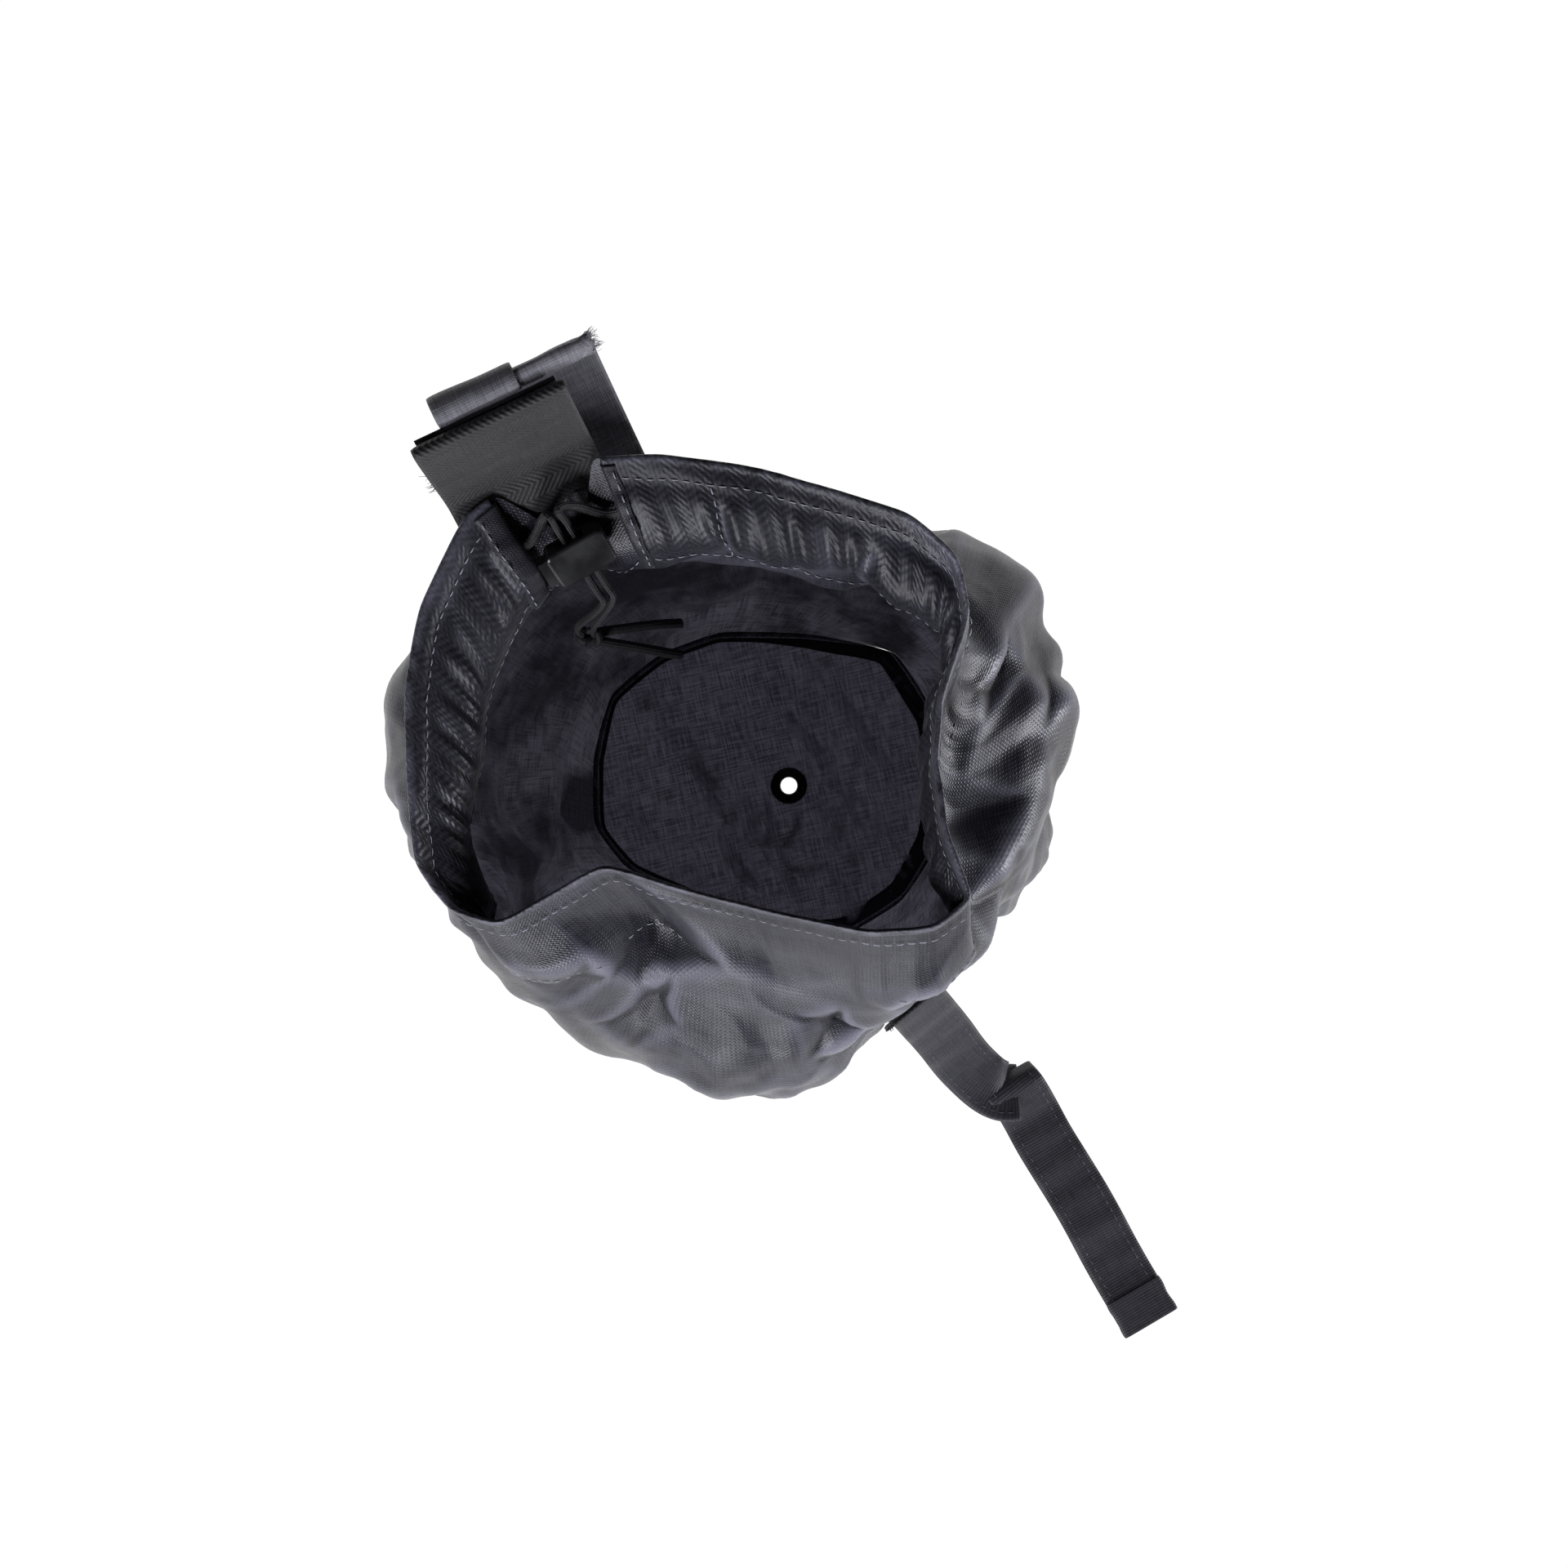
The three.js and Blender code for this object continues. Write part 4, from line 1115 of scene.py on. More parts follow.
# ---------------------------------------------------------------- mouth
@dataclass
class Mouth:
    """The hem of the mouth: casing with its facing, the vent's edges and the rows of stitches."""

    shape: BagShape
    finishes: Finishes
    edge_row: float = 0.975
    profile: list = field(default_factory=lambda: [
        (0.992, 0.25), (0.998, 0.35), (1.001, 0.1), (1.0, -0.4), (0.996, -1.2), (0.984, -1.8), (0.972, -2.0),
        (0.962, -2.8), (0.945, -4.3), (0.925, -4.7), (0.905, -4.0), (0.886, -2.2), (0.878, -1.2), (0.868, -0.7),
    ])

    def span(self, count: int) -> Array:
        """Shares round the mouth from the left of the vent to its right, the long way."""
        return np.linspace(self.shape.vent[1] - 0.996, self.shape.vent[0] - 0.004, count)

    def offset(self, v: Array) -> Array:
        """How far the facing lies off the wall at v, in metres."""
        rows = sorted((p[0], p[1]) for p in self.profile[4:])
        return np.interp(v, [r[0] for r in rows], [r[1] for r in rows]) * MM

    def build(self) -> list:
        """Makes the facing, the vent's hems and underlap, the drawstring and the stitches."""
        facing = self.facing()
        underlap = self.underlap()
        hems = [self.end_hem("left", self.shape.vent[1] - 0.996, 0.0125), self.end_hem("right", self.shape.vent[0] - 0.004, -0.0065)]
        for hem in hems:
            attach(hem, "bag")
        cord = self.hidden_cord()
        thread = self.rows_of_thread()
        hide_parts("casing_facing")
        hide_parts("drawstring_in_casing")
        for piece, slot in ((facing, "cloth"), (underlap, "cloth"), (cord, "cord"), (thread, "cord")):
            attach(piece, "bag")
        return [facing, underlap, *hems, cord, thread]

    def end_hem(self, name: str, edge: float, reach: float):
        """The folded hem of one end of the casing, beside the vent.

        Args:
            name: which end.
            edge: the share of the mouth where the casing ends.
            reach: how far the hem lies over the casing, in shares of the mouth.

        Returns:
            The hem.
        """
        v = np.linspace(0.862, 0.994, 40)
        t = np.array([-0.10, -0.12, 0.0, 0.25, 0.5, 0.75, 0.95, 1.0, 1.0])
        off = np.array([0.9, 0.1, -0.75, -1.0, -0.95, -1.0, -0.95, -0.6, 0.1]) * MM
        vv, tt = np.meshgrid(v, t, indexing="ij")
        wavy = 1 + 0.06 * np.sin(vv * 160 + edge * 40)
        uu = edge + reach * tt * wavy
        offset = self.offset(vv) + np.broadcast_to(off, vv.shape) + 0.3 * MM * np.sin(vv * 230) * (tt > 0)
        points = self.shape.at(uu, vv, offset)
        uv = np.stack([vv * self.shape.height * 1.0, tt * abs(reach) * self.shape.round_mouth], -1)
        piece = new_piece("vent_hem_" + name, points.reshape(-1, 3), grid_faces(*vv.shape), self.finishes.underlap, uv.reshape(-1, 2))
        add_modifier(piece, "SOLIDIFY", thickness=0.4 * MM, offset=0.0)
        bake_modifiers(piece)
        return piece

    def facing(self):
        """The turned hem: over the edge and down inside to the casing's lower row of stitches."""
        u = self.span(620)
        rows = np.array(self.profile)
        fine = catmull_rom(np.column_stack([rows, np.zeros(len(rows))]), steps=3)[:, :2]
        uu, vv = np.meshgrid(u, fine[:, 0], indexing="ij")
        off = np.broadcast_to(fine[:, 1] * MM, uu.shape).copy()
        tunnel = smoothstep(0.88, 0.915, vv) * (1 - smoothstep(0.94, 0.965, vv))
        off += 0.9 * MM * tunnel * ring_noise(uu, 31, 30, 95) * (fine[:, 1] < -0.8)
        points = self.shape.at(uu, vv, off)
        lift = np.maximum(fine[:, 0] - 0.992, 0) * 0.04
        points[..., 2] += lift
        along = np.concatenate([[0], np.cumsum(np.abs(np.diff(fine[:, 0])) * self.shape.height + np.abs(np.diff(fine[:, 1])) * MM)])
        uv = np.stack([uu * self.shape.round_mouth, np.broadcast_to(along, uu.shape)], -1)
        faces = grid_faces(*uu.shape)
        piece = new_piece("mouth_hem", points.reshape(-1, 3), faces, self.finishes.hem, uv.reshape(-1, 2))
        # Painted light on the hem: the wall's painted crease light and shade, a painted highlight along the mouth's
        # edge and painted light and shade on the casing's puckers.
        painted_crease_shading = self.shape.sample(self.shape.painted_crease_shading[..., None], uu, np.minimum(vv, 0.97))[..., 0]
        edge = smoothstep(0.988, 1.0, vv) * (0.20 + 0.16 * ring_noise(uu, 33, 12, 90))
        pucker_shading = 0.13 * ring_noise(uu, 31, 30, 95) * tunnel
        mark_crease_shading(piece, (painted_crease_shading * 0.6 + 0.2 + edge + pucker_shading).reshape(-1))
        add_modifier(piece, "SOLIDIFY", thickness=0.45 * MM, offset=0.0)
        bake_modifiers(piece)
        return piece

    def underlap(self):
        """The cloth behind the vent, sewn on in a V."""
        left, right = self.shape.vent[0] - 0.016, self.shape.vent[1] + 0.012
        u = np.linspace(left, right, 40)
        v = np.linspace(0.84, 0.962, 34)
        uu, vv = np.meshgrid(u, v, indexing="ij")
        sag = np.sin(math.pi * (uu - left) / (right - left)) * smoothstep(0.86, 0.93, vv)
        off = 0.9 * MM + 2.4 * MM * sag + 0.5 * MM * np.sin(uu * 900) * smoothstep(0.88, 0.95, vv)
        points = self.shape.at(uu, vv, off)
        uv = np.stack([uu * self.shape.round_mouth, vv * self.shape.height], -1)
        piece = new_piece("vent_underlap", points.reshape(-1, 3), grid_faces(*uu.shape), self.finishes.underlap, uv.reshape(-1, 2))
        add_modifier(piece, "SOLIDIFY", thickness=0.4 * MM, offset=0.0)
        bake_modifiers(piece)
        return piece

    def hidden_cord(self):
        """The drawstring inside the casing."""
        u = np.linspace(self.shape.vent[1] - 0.994, self.shape.vent[0] - 0.006, 260)
        path = self.shape.at(u, np.full_like(u, 1 - self.shape.casing / 2), np.full_like(u, -2.6 * MM))
        return tube("drawstring_hidden", path, ellipse(3.2 * MM, 2.4 * MM, 16, 5, 0.12), self.finishes.cord)

    def rows_of_thread(self):
        """Stitches along the edge, along the casing's foot, beside the vent and up the hem's joint."""
        shape = self.shape
        u = self.span(500)
        runs = []
        for v, side in ((self.edge_row, -1), (self.edge_row, 1), (0.873, -1), (0.873, 1)):
            vs = v + 0.0012 * ring_noise(u, 41 + side, 5, 40)
            if side < 0:
                off = self.offset(vs) - 0.42 * MM
            else:
                off = np.full_like(u, 0.75 * MM if v > 0.95 else 0.15 * MM)
            runs.append((shape.at(u, vs, off), shape.sample_direction(u, vs) * side))
        for place in (0.865, 0.37):
            v = np.linspace(0.87, 0.975, 40)
            us = np.full_like(v, place) + 0.0006 * np.sin(v * 90)
            runs.append((shape.at(us, v, self.offset(v) - 0.42 * MM), -shape.sample_direction(us, v)))
        for place in (self.shape.vent[1] - 0.996 + 0.0108, self.shape.vent[0] - 0.004 - 0.0048):
            v = np.linspace(0.866, 0.99, 40)
            us = np.full_like(v, place)
            runs.append((shape.at(us, v, self.offset(v) - 1.6 * MM), -shape.sample_direction(us, v)))
        apex = (0.954, 0.795)
        for start in ((0.982, 0.862), (0.922, 0.868)):
            t = np.linspace(0, 1, 30)
            us = start[0] * (1 - t) + apex[0] * t
            vs = start[1] * (1 - t) + apex[1] * t
            runs.append((shape.at(us, vs, -0.5 * MM), -shape.sample_direction(us, vs)))
        return stitches("mouth_stitches", runs, self.finishes.thread)


# ---------------------------------------------------------------- drawstring ends and lock
@dataclass
class LockPlace:
    """Where the cord lock lies: x across the cords, y along them into the bag, z up from the cloth."""

    centre: BagShape

    def __post_init__(self) -> None:
        """Sets the lock's own axes."""
        self.origin = self.centre.centre + np.array([-66.6, 73.5, 254]) * MM
        self.along = unit(np.array([0.42, -0.68, -0.6]))
        up = np.array([0.25, -0.56, 0.79])
        self.up = unit(up - self.along * float(up @ self.along))
        self.across = np.cross(self.along, self.up)

    def at(self, x: float, y: float, z: float) -> Array:
        """A point given in millimetres in the lock's own axes."""
        return self.origin + (self.across * x + self.along * y + self.up * z) * MM

    def matrix(self) -> Matrix:
        """The lock's axes and origin as a matrix."""
        columns = np.column_stack([self.across, self.along, self.up, self.origin])
        return Matrix([*[list(map(float, row)) for row in columns], [0, 0, 0, 1]])


@dataclass
class Drawstring:
    """The two free ends of the drawstring, from the casing through the lock to the knot and on as tails."""

    shape: BagShape
    lock: LockPlace
    finishes: Finishes
    pitch: float = 3.7
    width: float = 3.4 * MM
    knot_size: float = 5.2

    def route(self, side: int, inside: float) -> Array:
        """The free end's points, close to the model's and straight through the lock's travel.

        Args:
            side: 1 for the left end, -1 for the right.
            inside: the share of the mouth where it leaves the casing.

        Returns:
            Its points, from the casing to the knot.
        """
        shape, across = self.shape, side * self.pitch / 2
        v = 1 - shape.casing / 2
        off = -3.4 * MM
        knot = self.knot_place()
        top = knot + np.array([-side * self.pitch / 2, 0.6, 1.1 * self.knot_size - 0.1]) * MM
        points = [
            shape.at(np.array(inside), np.array(v), off),
            shape.at(np.array(inside - side * 0.009), np.array(v), off),
            shape.at(np.array(inside - side * 0.022), np.array(v + 0.02), off - 1.5 * MM),
            self.lock.at(across, -17, -0.8),
            *[self.lock.at(across, y, 0) for y in (-11.5, -8, 0, 10, 15.5, 19.5)],
            top + np.array([-side * 0.8, 1.5, 9]) * MM,
            top,
        ]
        return catmull_rom(np.array(points), steps=14)

    def knot_place(self) -> Array:
        """The knot's middle."""
        return self.shape.centre + np.array([-67, 50, 211]) * MM

    def tail(self, side: int) -> Array:
        """A tail's points, from the knot to its cut end."""
        start = self.knot_place() + np.array([self.knot_size - 0.1, side * self.pitch / 2, -2]) * MM
        steps = [(-2.6, -side * 0.6, 0.6), (0, 0, 0), (8, side * 1.2, -2.5), (17, side * 2.6, -7), (25, side * 3.6, -14)]
        return catmull_rom(np.array([start + np.array(s) * MM for s in steps]), steps=12)

    def build(self) -> list:
        knot = self.knot()
        made = [knot]
        section = ellipse(self.width, self.width * 0.6, 40, 10, 0.2)
        for name, side, inside in (("left", 1, self.shape.vent[1] - 0.9955), ("right", -1, self.shape.vent[0] - 0.0045)):
            path = self.route(side, inside)
            path = even(path, np.linspace(0, 1, 150))
            free = tube("drawstring_end_" + name, path, section, self.finishes.cord, up=self.lock.up)
            tail_path = even(self.tail(-side), np.linspace(0, 1, 50))
            tail = tube("drawstring_tip_" + name, tail_path, section, self.finishes.cord)
            for piece, node in ((free, "drawstring_free_" + name), (tail, "drawstring_tail_" + name)):
                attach(piece, "bag")
                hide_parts(node)
            made += [free, tail]
        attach(knot, "bag")
        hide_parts("drawstring_knot")
        return made

    def knot(self):
        """An overhand knot: the cord wound once through itself."""
        centre = self.knot_place()
        turns = np.linspace(0, 2 * math.pi, 130, endpoint=True)
        size = self.knot_size * MM * 0.62
        x = size * (np.sin(turns) + 1.5 * np.sin(2 * turns)) * 0.42
        y = size * (np.cos(turns) - 1.5 * np.cos(2 * turns)) * 0.42
        z = -size * np.sin(3 * turns) * 0.6
        path = centre + np.stack([x * 1.15, z, y * 1.25], 1)
        section = ellipse(self.width * 1.15, self.width * 0.85, 20, 7, 0.18)
        return tube("drawstring_knot_loops", path, section, self.finishes.cord)


@dataclass
class CordLock:
    """The glossy cord lock with its sprung button."""

    place: LockPlace
    finishes: Finishes

    def build(self):
        """Dresses the lock's nodes, eases their edges and makes the spring."""
        dress_node("cord_lock_body", self.finishes.plastic, 0.35 * MM)
        dress_node("cord_lock_button", self.finishes.plastic, 0.3 * MM)
        return self.spring()

    def spring(self):
        """The coil behind the button, made at one length; it does not shorten as the button is pressed."""
        low, high = -7.9, -5.9
        turns = np.linspace(0, 1, 90)
        wire = 0.26 * MM
        points = [
            self.place.at(low + (high - low) * t, 1.9 * math.cos(a), 1.9 * math.sin(a))
            for t, a in zip(turns, turns * 3 * 2 * math.pi)
        ]
        section = ellipse(2 * wire, 2 * wire, 10, 0, 0)
        piece = tube("cord_lock_coil", np.array(points), section, self.finishes.steel)
        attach(piece, "cord_lock")
        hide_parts("cord_lock_spring")
        anchor = self.place.at(low - 0.3, 0, 0)
        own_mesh(piece)
        return piece


# ---------------------------------------------------------------- straps
@dataclass
class Ribbon:
    """A flat strip laid along a line, with soft edges."""

    width: float
    thickness: float
    columns: int = 22

    def rings(self, path: Array, across: Array, normal: Array, widths: Array | None = None) -> Array:
        """Closed sections (n, m, 3) of the strip along its path."""
        t = np.linspace(-1, 1, self.columns)
        height = np.sqrt(np.clip(1 - np.abs(t) ** 12, 0.04, 1)) * self.thickness / 2
        outline_x = np.concatenate([t, t[::-1]]) * self.width / 2
        outline_y = np.concatenate([height, -height[::-1]])
        wide = np.ones(len(path)) if widths is None else widths
        return (
            path[:, None]
            + across[:, None] * (outline_x[None, :, None] * wide[:, None, None])
            + normal[:, None] * outline_y[None, :, None]
        )

    def make(self, name: str, path: Array, across: Array, normal: Array, material, widths: Array | None = None):
        """Builds the strip.

        Args:
            name: the piece's name.
            path: its middle line (n, 3).
            across: directions over its width (n, 3).
            normal: directions off its face (n, 3).
            material: its material.
            widths: how wide it is along the path, as shares of its width.

        Returns:
            The piece.
        """
        rings = self.rings(path, across, normal, widths)
        n, m = rings.shape[:2]
        faces = [tuple(reversed(f)) for f in grid_faces(n, m, close_columns=True)]
        faces += [tuple(range(m)), tuple(reversed(range((n - 1) * m, n * m)))]
        along = np.concatenate([[0], np.cumsum(np.linalg.norm(np.diff(path, axis=0), axis=1))])
        t = np.linspace(-0.5, 0.5, self.columns) * self.width
        uv = np.stack([np.repeat(along, m), np.tile(np.concatenate([t, t[::-1]]), n)], 1)
        piece = new_piece(name, rings.reshape(-1, 3), faces, material, uv)
        recalculate(piece)
        return piece


@dataclass
class Axes:
    """A place on the bag with its own axes: out from the cloth, up, and along it."""

    origin: Array
    out: Array

    def __post_init__(self) -> None:
        """Works out the third axis."""
        self.out = unit(self.out)
        self.up = np.array([0.0, 0.0, 1.0])
        self.along = np.cross(self.out, self.up)

    def line(self, points: list, steps: int = 16, smooth: bool = True) -> Array:
        """A line given by out and up in millimetres, as points in the frame."""
        flat = np.array([self.origin + (self.out * x + self.up * y) * MM for x, y in points])
        return catmull_rom(flat, steps=steps) if smooth else flat


@dataclass
class Hanger:
    """The harness hanger: wide webbing folded at its top, hook tape, and the band that closes on it."""

    shape: BagShape
    finishes: Finishes
    width: float = 50 * MM
    top: float = 38.0
    band_width: float = 52 * MM
    band_shift: float = 12 * MM

    def build(self) -> list:
        """Makes the webbing, the band with its rolled flap and the frayed ends, and dresses the tape."""
        axes = Axes(self.shape.centre + np.array([-84, 96.5, 262]) * MM, np.array([-0.425, 0.905, 0]))
        webbing = self.webbing(axes)
        fray = self.fray(axes, "hanger_webbing_fray", -25.5, (4.0, 15.0), (6.5, 10.0), 16, self.finishes.cord)
        band = self.band(axes)
        flap = self.flap(axes)
        edge = self.fray(axes, "hanger_band_fray", 38.0, (31.0, 41.0), (19.6, 25.0), 44, self.finishes.band)
        for piece, slot in ((webbing, "webbing"), (fray, "webbing")):
            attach(piece, "bag")
        for piece in (band, flap, edge):
            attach(piece, "harness_band")
        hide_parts("hanger_webbing")
        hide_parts("hanger_band")
        dress_node("hanger_hook_tape", self.finishes.tape, 0.2 * MM)
        return [webbing, fray, band, flap, edge]

    def fray(self, axes: Axes, name: str, side: float, up: tuple, out: tuple, count: int, material):
        """Loose threads at one cut end of the webbing or band, side millimetres along the hanger."""
        draw = np.random.default_rng(count)
        roots, heads = [], []
        for _ in range(count):
            y, x = draw.uniform(*up), draw.uniform(*out)
            roots.append(axes.origin + (axes.out * x + axes.up * y + axes.along * (side - math.copysign(1.0, side))) * MM)
            reach = draw.uniform(1.6, 4.2)
            away = axes.along * math.copysign(1, side) + axes.up * draw.normal(0.1, 0.45) + axes.out * draw.normal(0, 0.5)
            heads.append(unit(away) * reach * MM)
        return loose_threads(name, np.array(roots), np.array(heads), material)

    def webbing(self, axes: Axes):
        """The front leg, folded over itself at the top."""
        t = self.top
        points = [(-10.2, -10.5), (-4, -5), (0.4, -1.5), (2.6, 3), (7, 20), (11.8, t - 1.6), (12.8, t + 0.1),
                  (14.4, t + 0.2), (15.3, t - 1.2), (15.2, t - 5), (14.3, t - 12)]
        path = axes.line(points, 10)
        return self.strip("hanger_webbing_leg", axes, path, self.width, 1.3 * MM, self.finishes.webbing, 0.0, 0.2 * MM)

    def band(self, axes: Axes):
        """The cloth band that goes under the belt, doubled over at its torn end."""
        points = [(-20, -22.5), (-12.6, -16.4), (-6, -17), (6, -21), (19, -16), (27.5, -2), (27.5, 14), (23.5, 22),
                  (20.4, 28), (19.8, 34.5), (20.6, 39), (23.2, 40), (24.8, 37), (24.2, 31)]
        path = axes.line(points, 9)
        piece = self.strip("hanger_band_cloth", axes, path, self.band_width, 0.9 * MM, self.finishes.band, self.band_shift, 0.8 * MM)
        points = points_of(piece.data)
        along = (points - axes.origin) @ axes.along / MM
        up = points[:, 2] / MM - axes.origin[2] / MM
        torn = smoothstep(30, 38, along) * smoothstep(16, 34, up)
        rough = np.array([noise.noise_vector(Vector(p) * 240) for p in points])
        set_points(piece.data, points + rough * (torn * 2.6 * MM)[:, None])
        return piece

    def flap(self, axes: Axes):
        """The band's soft end, rolled up loosely over its left half."""
        turns = np.linspace(-0.35, 1.32, 90) * 2 * math.pi
        size = 5.4 - 1.5 * np.linspace(0, 1, 90)
        x = 22.4 + size * np.cos(-turns + 0.3) * 0.92
        y = 36.0 + size * np.sin(-turns + 0.3)
        lead = np.array([(27.6, 15.0), (27.9, 22.0)])
        line = np.concatenate([lead, np.column_stack([x, y])[::-1][::-1]])
        path = np.array([axes.origin + (axes.out * a + axes.up * b) * MM for a, b in line])
        path = catmull_rom(path, steps=2)
        return self.strip("hanger_band_flap", axes, path, 27 * MM, 0.7 * MM, self.finishes.band, -0.8 * MM, 0.45 * MM)

    def strip(self, name: str, axes: Axes, path: Array, width: float, thick: float, material, shift: float, wave: float):
        """A strip in the hanger's axes whose face ripples by wave metres."""
        columns = 40
        tangent = unit(np.gradient(path, axis=0))
        normal = np.cross(axes.along, tangent)
        ribbon = Ribbon(width, thick, columns)
        across = np.broadcast_to(axes.along, path.shape)
        piece = ribbon.make(name, path + axes.along * shift, across, normal, material)
        points = points_of(piece.data)
        ripple = np.array([noise.noise(Vector(p) * 38) + 0.5 * noise.noise(Vector(p) * 90) for p in points])
        directions = np.repeat(normal, 2 * columns, axis=0)
        set_points(piece.data, points + directions * (ripple * wave)[:, None])
        return piece


@dataclass
class FrontStrap:
    """The narrow ribbed strap, from its keeper on the wall, over its kink and out along the floor."""

    shape: BagShape
    finishes: Finishes
    root: tuple = (46.97, -82.15, 81.68)
    width: float = 25 * MM
    thickness: float = 1.6 * MM
    keeper_width: float = 31 * MM
    keeper_height: float = 14.0
    kink: float = 60.0
    shift: float = -10.0
    turn: float = math.radians(-9)
    reach: float = 120.0
    seam: float = 3.6 * MM
    steps: int = 170

    def __post_init__(self) -> None:
        """Sets the axes of the strap's upper and lower stretches."""
        self.high = Axes(self.shape.centre + np.array(self.root) * MM, np.array([0.63, -0.777, 0]))
        c, d = math.cos(self.turn), math.sin(self.turn)
        x, y, _ = self.high.out
        self.low = Axes(
            self.high.origin + (self.high.out * self.kink + self.high.along * self.shift) * MM,
            np.array([c * x - d * y, d * x + c * y, 0]),
        )
        self.floor = -self.high.origin[2] / MM + 0.9

    def build(self) -> list:
        """Makes the keeper with its tacks, the strap's two stretches, the turned tip and the stitches."""
        keeper = self.keeper()
        high, high_thread = self.stretch("front_strap_high", *self.upper_path())
        low, low_thread = self.stretch("front_strap_low", *self.lower_path())
        tip = self.tip()
        tacks = self.tacks()
        for piece in (keeper, tacks):
            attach(piece, "bag")
        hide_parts("strap_keeper")
        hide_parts("front_strap_root", "front_strap_upper")
        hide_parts("front_strap_lower")
        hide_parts("front_strap_tip")
        swing = self.high.line([(2.7, -9.8)], smooth=False)[0]
        for piece in (high, high_thread):
            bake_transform(piece)
        for piece in (low, low_thread, tip):
            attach(piece, "strap_end")
        return [keeper, tacks, high, high_thread, low, low_thread, tip]

    def upper_path(self) -> tuple[Array, Array]:
        """The upper stretch: its middle line and how far it is rolled about it."""
        floor = self.floor
        plan = [(1.8, 6, 0), (1.8, -2, 0), (1.8, -9.8, 0), (3, -15, 0), (9, -25, 0), (26, floor * 0.62, 0),
                (42, floor * 0.82, 0.5), (54, floor + 9, -1), (62, floor + 6.5, -4), (67, floor + 4.6, -9)]
        path = np.array([self.high.origin + (self.high.out * x + self.high.up * y + self.high.along * z) * MM for x, y, z in plan])
        path = even(catmull_rom(path, steps=20), np.linspace(0, 1, self.steps))
        t = np.linspace(0, 1, self.steps)
        roll = -0.10 * smoothstep(0.55, 0.8, t) + 0.62 * smoothstep(0.84, 1.0, t)
        return path, roll

    def lower_path(self) -> tuple[Array, Array]:
        """The lower stretch: from the hump at the kink along the floor to the turned tip."""
        floor = self.floor
        plan = [(-1.5, floor + 1.9, 1.5), (2, floor + 5.6, 0.8), (6.5, floor + 6.0, 0.2), (12, floor + 2.8, 0),
                (19, floor + 0.7, 0), (30, floor + 0.3, 0.3), (62, floor + 0.6, -0.5), (90, floor, 0.2), (self.reach, floor, 0)]
        path = np.array([self.low.origin + (self.low.out * x + self.low.up * y + self.low.along * z) * MM for x, y, z in plan])
        path = even(catmull_rom(path, steps=20), np.linspace(0, 1, self.steps))
        t = np.linspace(0, 1, self.steps)
        return path, 0.28 * (1 - smoothstep(0.02, 0.13, t))

    def frame_of(self, path: Array, roll: Array) -> tuple[Array, Array]:
        """Directions across the strap and off its face, rolled about its middle line."""
        tangent = unit(np.gradient(path, axis=0))
        flat = unit(np.cross(np.array([0.0, 0.0, 1.0]), tangent))
        blend = smoothstep(0, 1, np.clip(np.abs(tangent[:, 2]) * 1.2, 0, 1))[:, None]
        across = unit(-flat * (1 - blend) + self.high.along * blend)
        across = unit(across - tangent * np.sum(across * tangent, axis=1, keepdims=True))
        normal = np.cross(across, tangent)
        c, d = np.cos(roll)[:, None], np.sin(roll)[:, None]
        return across * c + normal * d, normal * c - across * d

    def stretch(self, name: str, path: Array, roll: Array) -> list:
        """One stretch of ribbed strap and the two rows of stitches near its edges."""
        across, normal = self.frame_of(path, roll)
        if float(np.mean(normal[:, 2])) < 0:
            normal = -normal
        along = np.linspace(0, 1, len(path))
        sway = 0.35 * MM * np.sin(along * 23) + 0.25 * MM * np.sin(along * 51 + 1)
        piece = Ribbon(self.width, self.thickness, 26).make(name, path + normal * sway[:, None], across, normal, self.finishes.ribbon)
        runs = []
        lift = normal * (self.thickness / 2 + 0.02 * MM + sway[:, None])
        for side in (-1, 1):
            row = path + across * (side * (self.width / 2 - self.seam)) + lift
            runs.append((row[6:-4], normal[6:-4]))
        return [piece, stitches(name + "_stitches", runs, self.finishes.dull_thread, thread=0.36 * MM)]

    def tip(self):
        """The strap's end, turned over itself, one layer on the other; the stitches that sew it round are not made."""
        start = self.low.line([(self.reach - 16.5, self.floor + 1.55), (self.reach - 0.6, self.floor + 1.5)], smooth=False)
        path = even(start, np.linspace(0, 1, 24))
        across = np.broadcast_to(self.low.along, path.shape)
        normal = np.broadcast_to(self.low.up, path.shape)
        widths = 1 + 0.02 * np.sin(np.linspace(0, 9, 24))
        return Ribbon(self.width * 1.01, 1.2 * MM, 26).make("front_strap_turned_tip", path, across, normal, self.finishes.ribbon, widths)

    def keeper(self):
        """The patch that holds the strap to the wall."""
        half = self.keeper_height / 2
        path = self.high.line([(3.4, -half), (4.0, 0), (3.4, half)], 12)
        tangent = unit(np.gradient(path, axis=0))
        normal = np.cross(self.high.along, tangent)
        across = np.broadcast_to(self.high.along, path.shape)
        return Ribbon(self.keeper_width, 1.1 * MM, 30).make("strap_keeper_patch", path, across, normal, self.finishes.webbing)

    def tacks(self):
        """The two rows of close stitches that tack the keeper down."""
        runs = []
        half = self.keeper_height / 2 - 1
        for side in (-1, 1):
            for shift in (0, 0.9):
                z = side * (self.keeper_width / MM / 2 - 2.6 + shift)
                row = [self.high.origin + (self.high.out * 4.7 + self.high.up * y + self.high.along * z) * MM for y in (-half, half)]
                runs.append((np.array(row), np.array([self.high.out, self.high.out])))
        return stitches("strap_keeper_tacks", runs, self.finishes.thread, pitch=1.5 * MM)


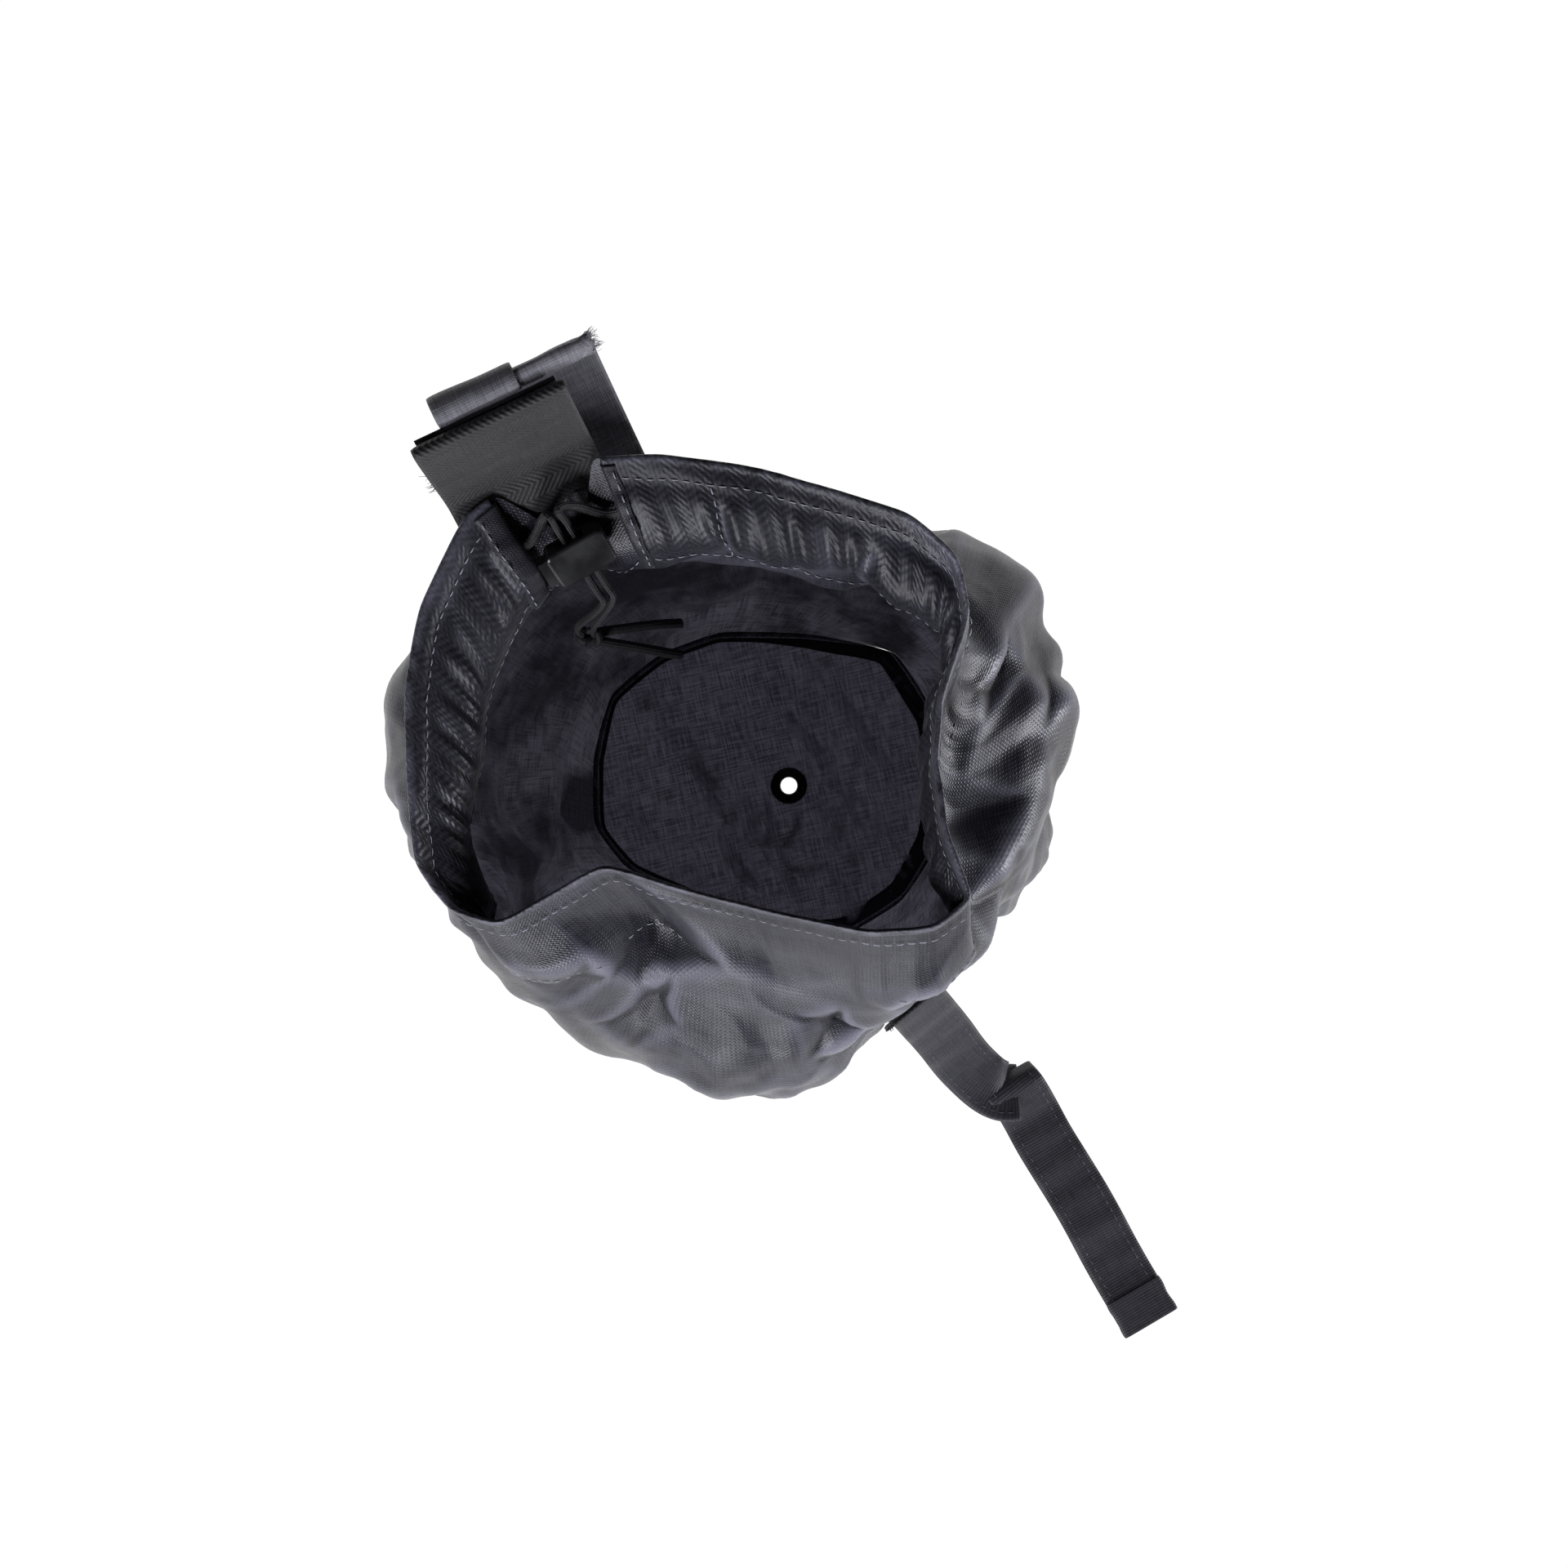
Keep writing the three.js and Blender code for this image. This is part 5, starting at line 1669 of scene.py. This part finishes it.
# ---------------------------------------------------------------- studio
@dataclass
class Studio:
    """A bright white floor, soft light from above and a camera straight over the base."""

    shape: BagShape
    height: float = 1.017
    view: float = 0.6605
    horizon: float = 0.45
    zenith: float = 0.16
    aim: tuple = (-2.06 * MM, 0.69 * MM)

    def camera(self) -> None:
        """Adds the camera."""
        data = bpy.data.cameras.new("camera")
        data.sensor_width = 36
        data.lens = 36 * self.height / self.view
        data.clip_start = 0.01
        camera = bpy.data.objects.new("camera", data)
        centre = self.shape.centre
        camera.location = (centre[0] + self.aim[0], centre[1] + self.aim[1], self.height)
        bpy.context.collection.objects.link(camera)
        bpy.context.scene.camera = camera

    def build(self) -> None:
        """Adds the floor and the lights."""
        size, drop = 3.0, 0.2 * MM
        corners = np.array([(-size, -size, -drop), (size, -size, -drop), (size, size, -drop), (-size, size, -drop)])
        n = Nodes("white_floor")
        glow = n.add("Emission", {"Color": (1, 1, 1, 1), "Strength": 1.02})
        new_piece("floor", corners, [(0, 1, 2, 3)], n.surface(glow))
        self.area("key", (-0.55, -0.75, 0.85), 0.3, 5.2)
        self.area("rim", (1.1, -0.25, 0.15), 0.35, 7.5)
        self.area("front", (-0.1, -1.1, 0.5), 0.4, 6.5)
        self.room()
        bpy.context.scene.view_settings.view_transform = "Standard"

    def room(self) -> None:
        """A room that is bright all round at the floor and dim overhead."""
        world = bpy.data.worlds.new("soft_room")
        bpy.context.scene.world = world
        world.use_nodes = True
        tree = world.node_tree
        back = tree.nodes["Background"]
        place = tree.nodes.new("ShaderNodeTexCoord")
        split = tree.nodes.new("ShaderNodeSeparateXYZ")
        fade = tree.nodes.new("ShaderNodeMapRange")
        tree.links.new(place.outputs["Generated"], split.inputs[0])
        tree.links.new(split.outputs[2], fade.inputs[0])
        for socket, value in ((1, 0.0), (2, 0.75), (3, self.horizon), (4, self.zenith)):
            fade.inputs[socket].default_value = value
        tree.links.new(fade.outputs[0], back.inputs["Strength"])

    def area(self, name: str, place: tuple, size: float, power: float) -> None:
        """A soft square light aimed at the bag."""
        data = bpy.data.lights.new(name, "AREA")
        data.size = size
        data.energy = power
        data.color = (0.93, 0.935, 1.0)
        lamp = bpy.data.objects.new(name, data)
        lamp.location = place
        aim = Vector((0, 0, 0.12)) - Vector(place)
        lamp.rotation_euler = aim.to_track_quat("-Z", "Y").to_euler()
        bpy.context.collection.objects.link(lamp)


def main() -> None:
    """Builds the camera, the cords and every other sub-assembly of the bag."""
    logging.basicConfig(level=logging.INFO, format="%(name)s: %(message)s")
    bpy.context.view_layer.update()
    shape = BagShape()
    finishes = Finishes()
    studio = Studio(shape)
    studio.camera()
    lock = LockPlace(shape)
    for piece in Drawstring(shape, lock, finishes).build():
        LOG.info("drawstring: %s", piece.name)
    LOG.info("cord lock: %s", CordLock(lock, finishes).build().name)
    for part in (Mouth(shape, finishes), Hanger(shape, finishes), FrontStrap(shape, finishes), BagBase(shape, finishes)):
        for piece in part.build():
            LOG.info("%s: %s, %d faces", type(part).__name__, piece.name, len(piece.data.polygons))
    wall = BagWall(shape, finishes).build()
    LOG.info("wall: %d faces", len(wall.data.polygons))
    studio.build()


if __name__ == "__main__":
    main()
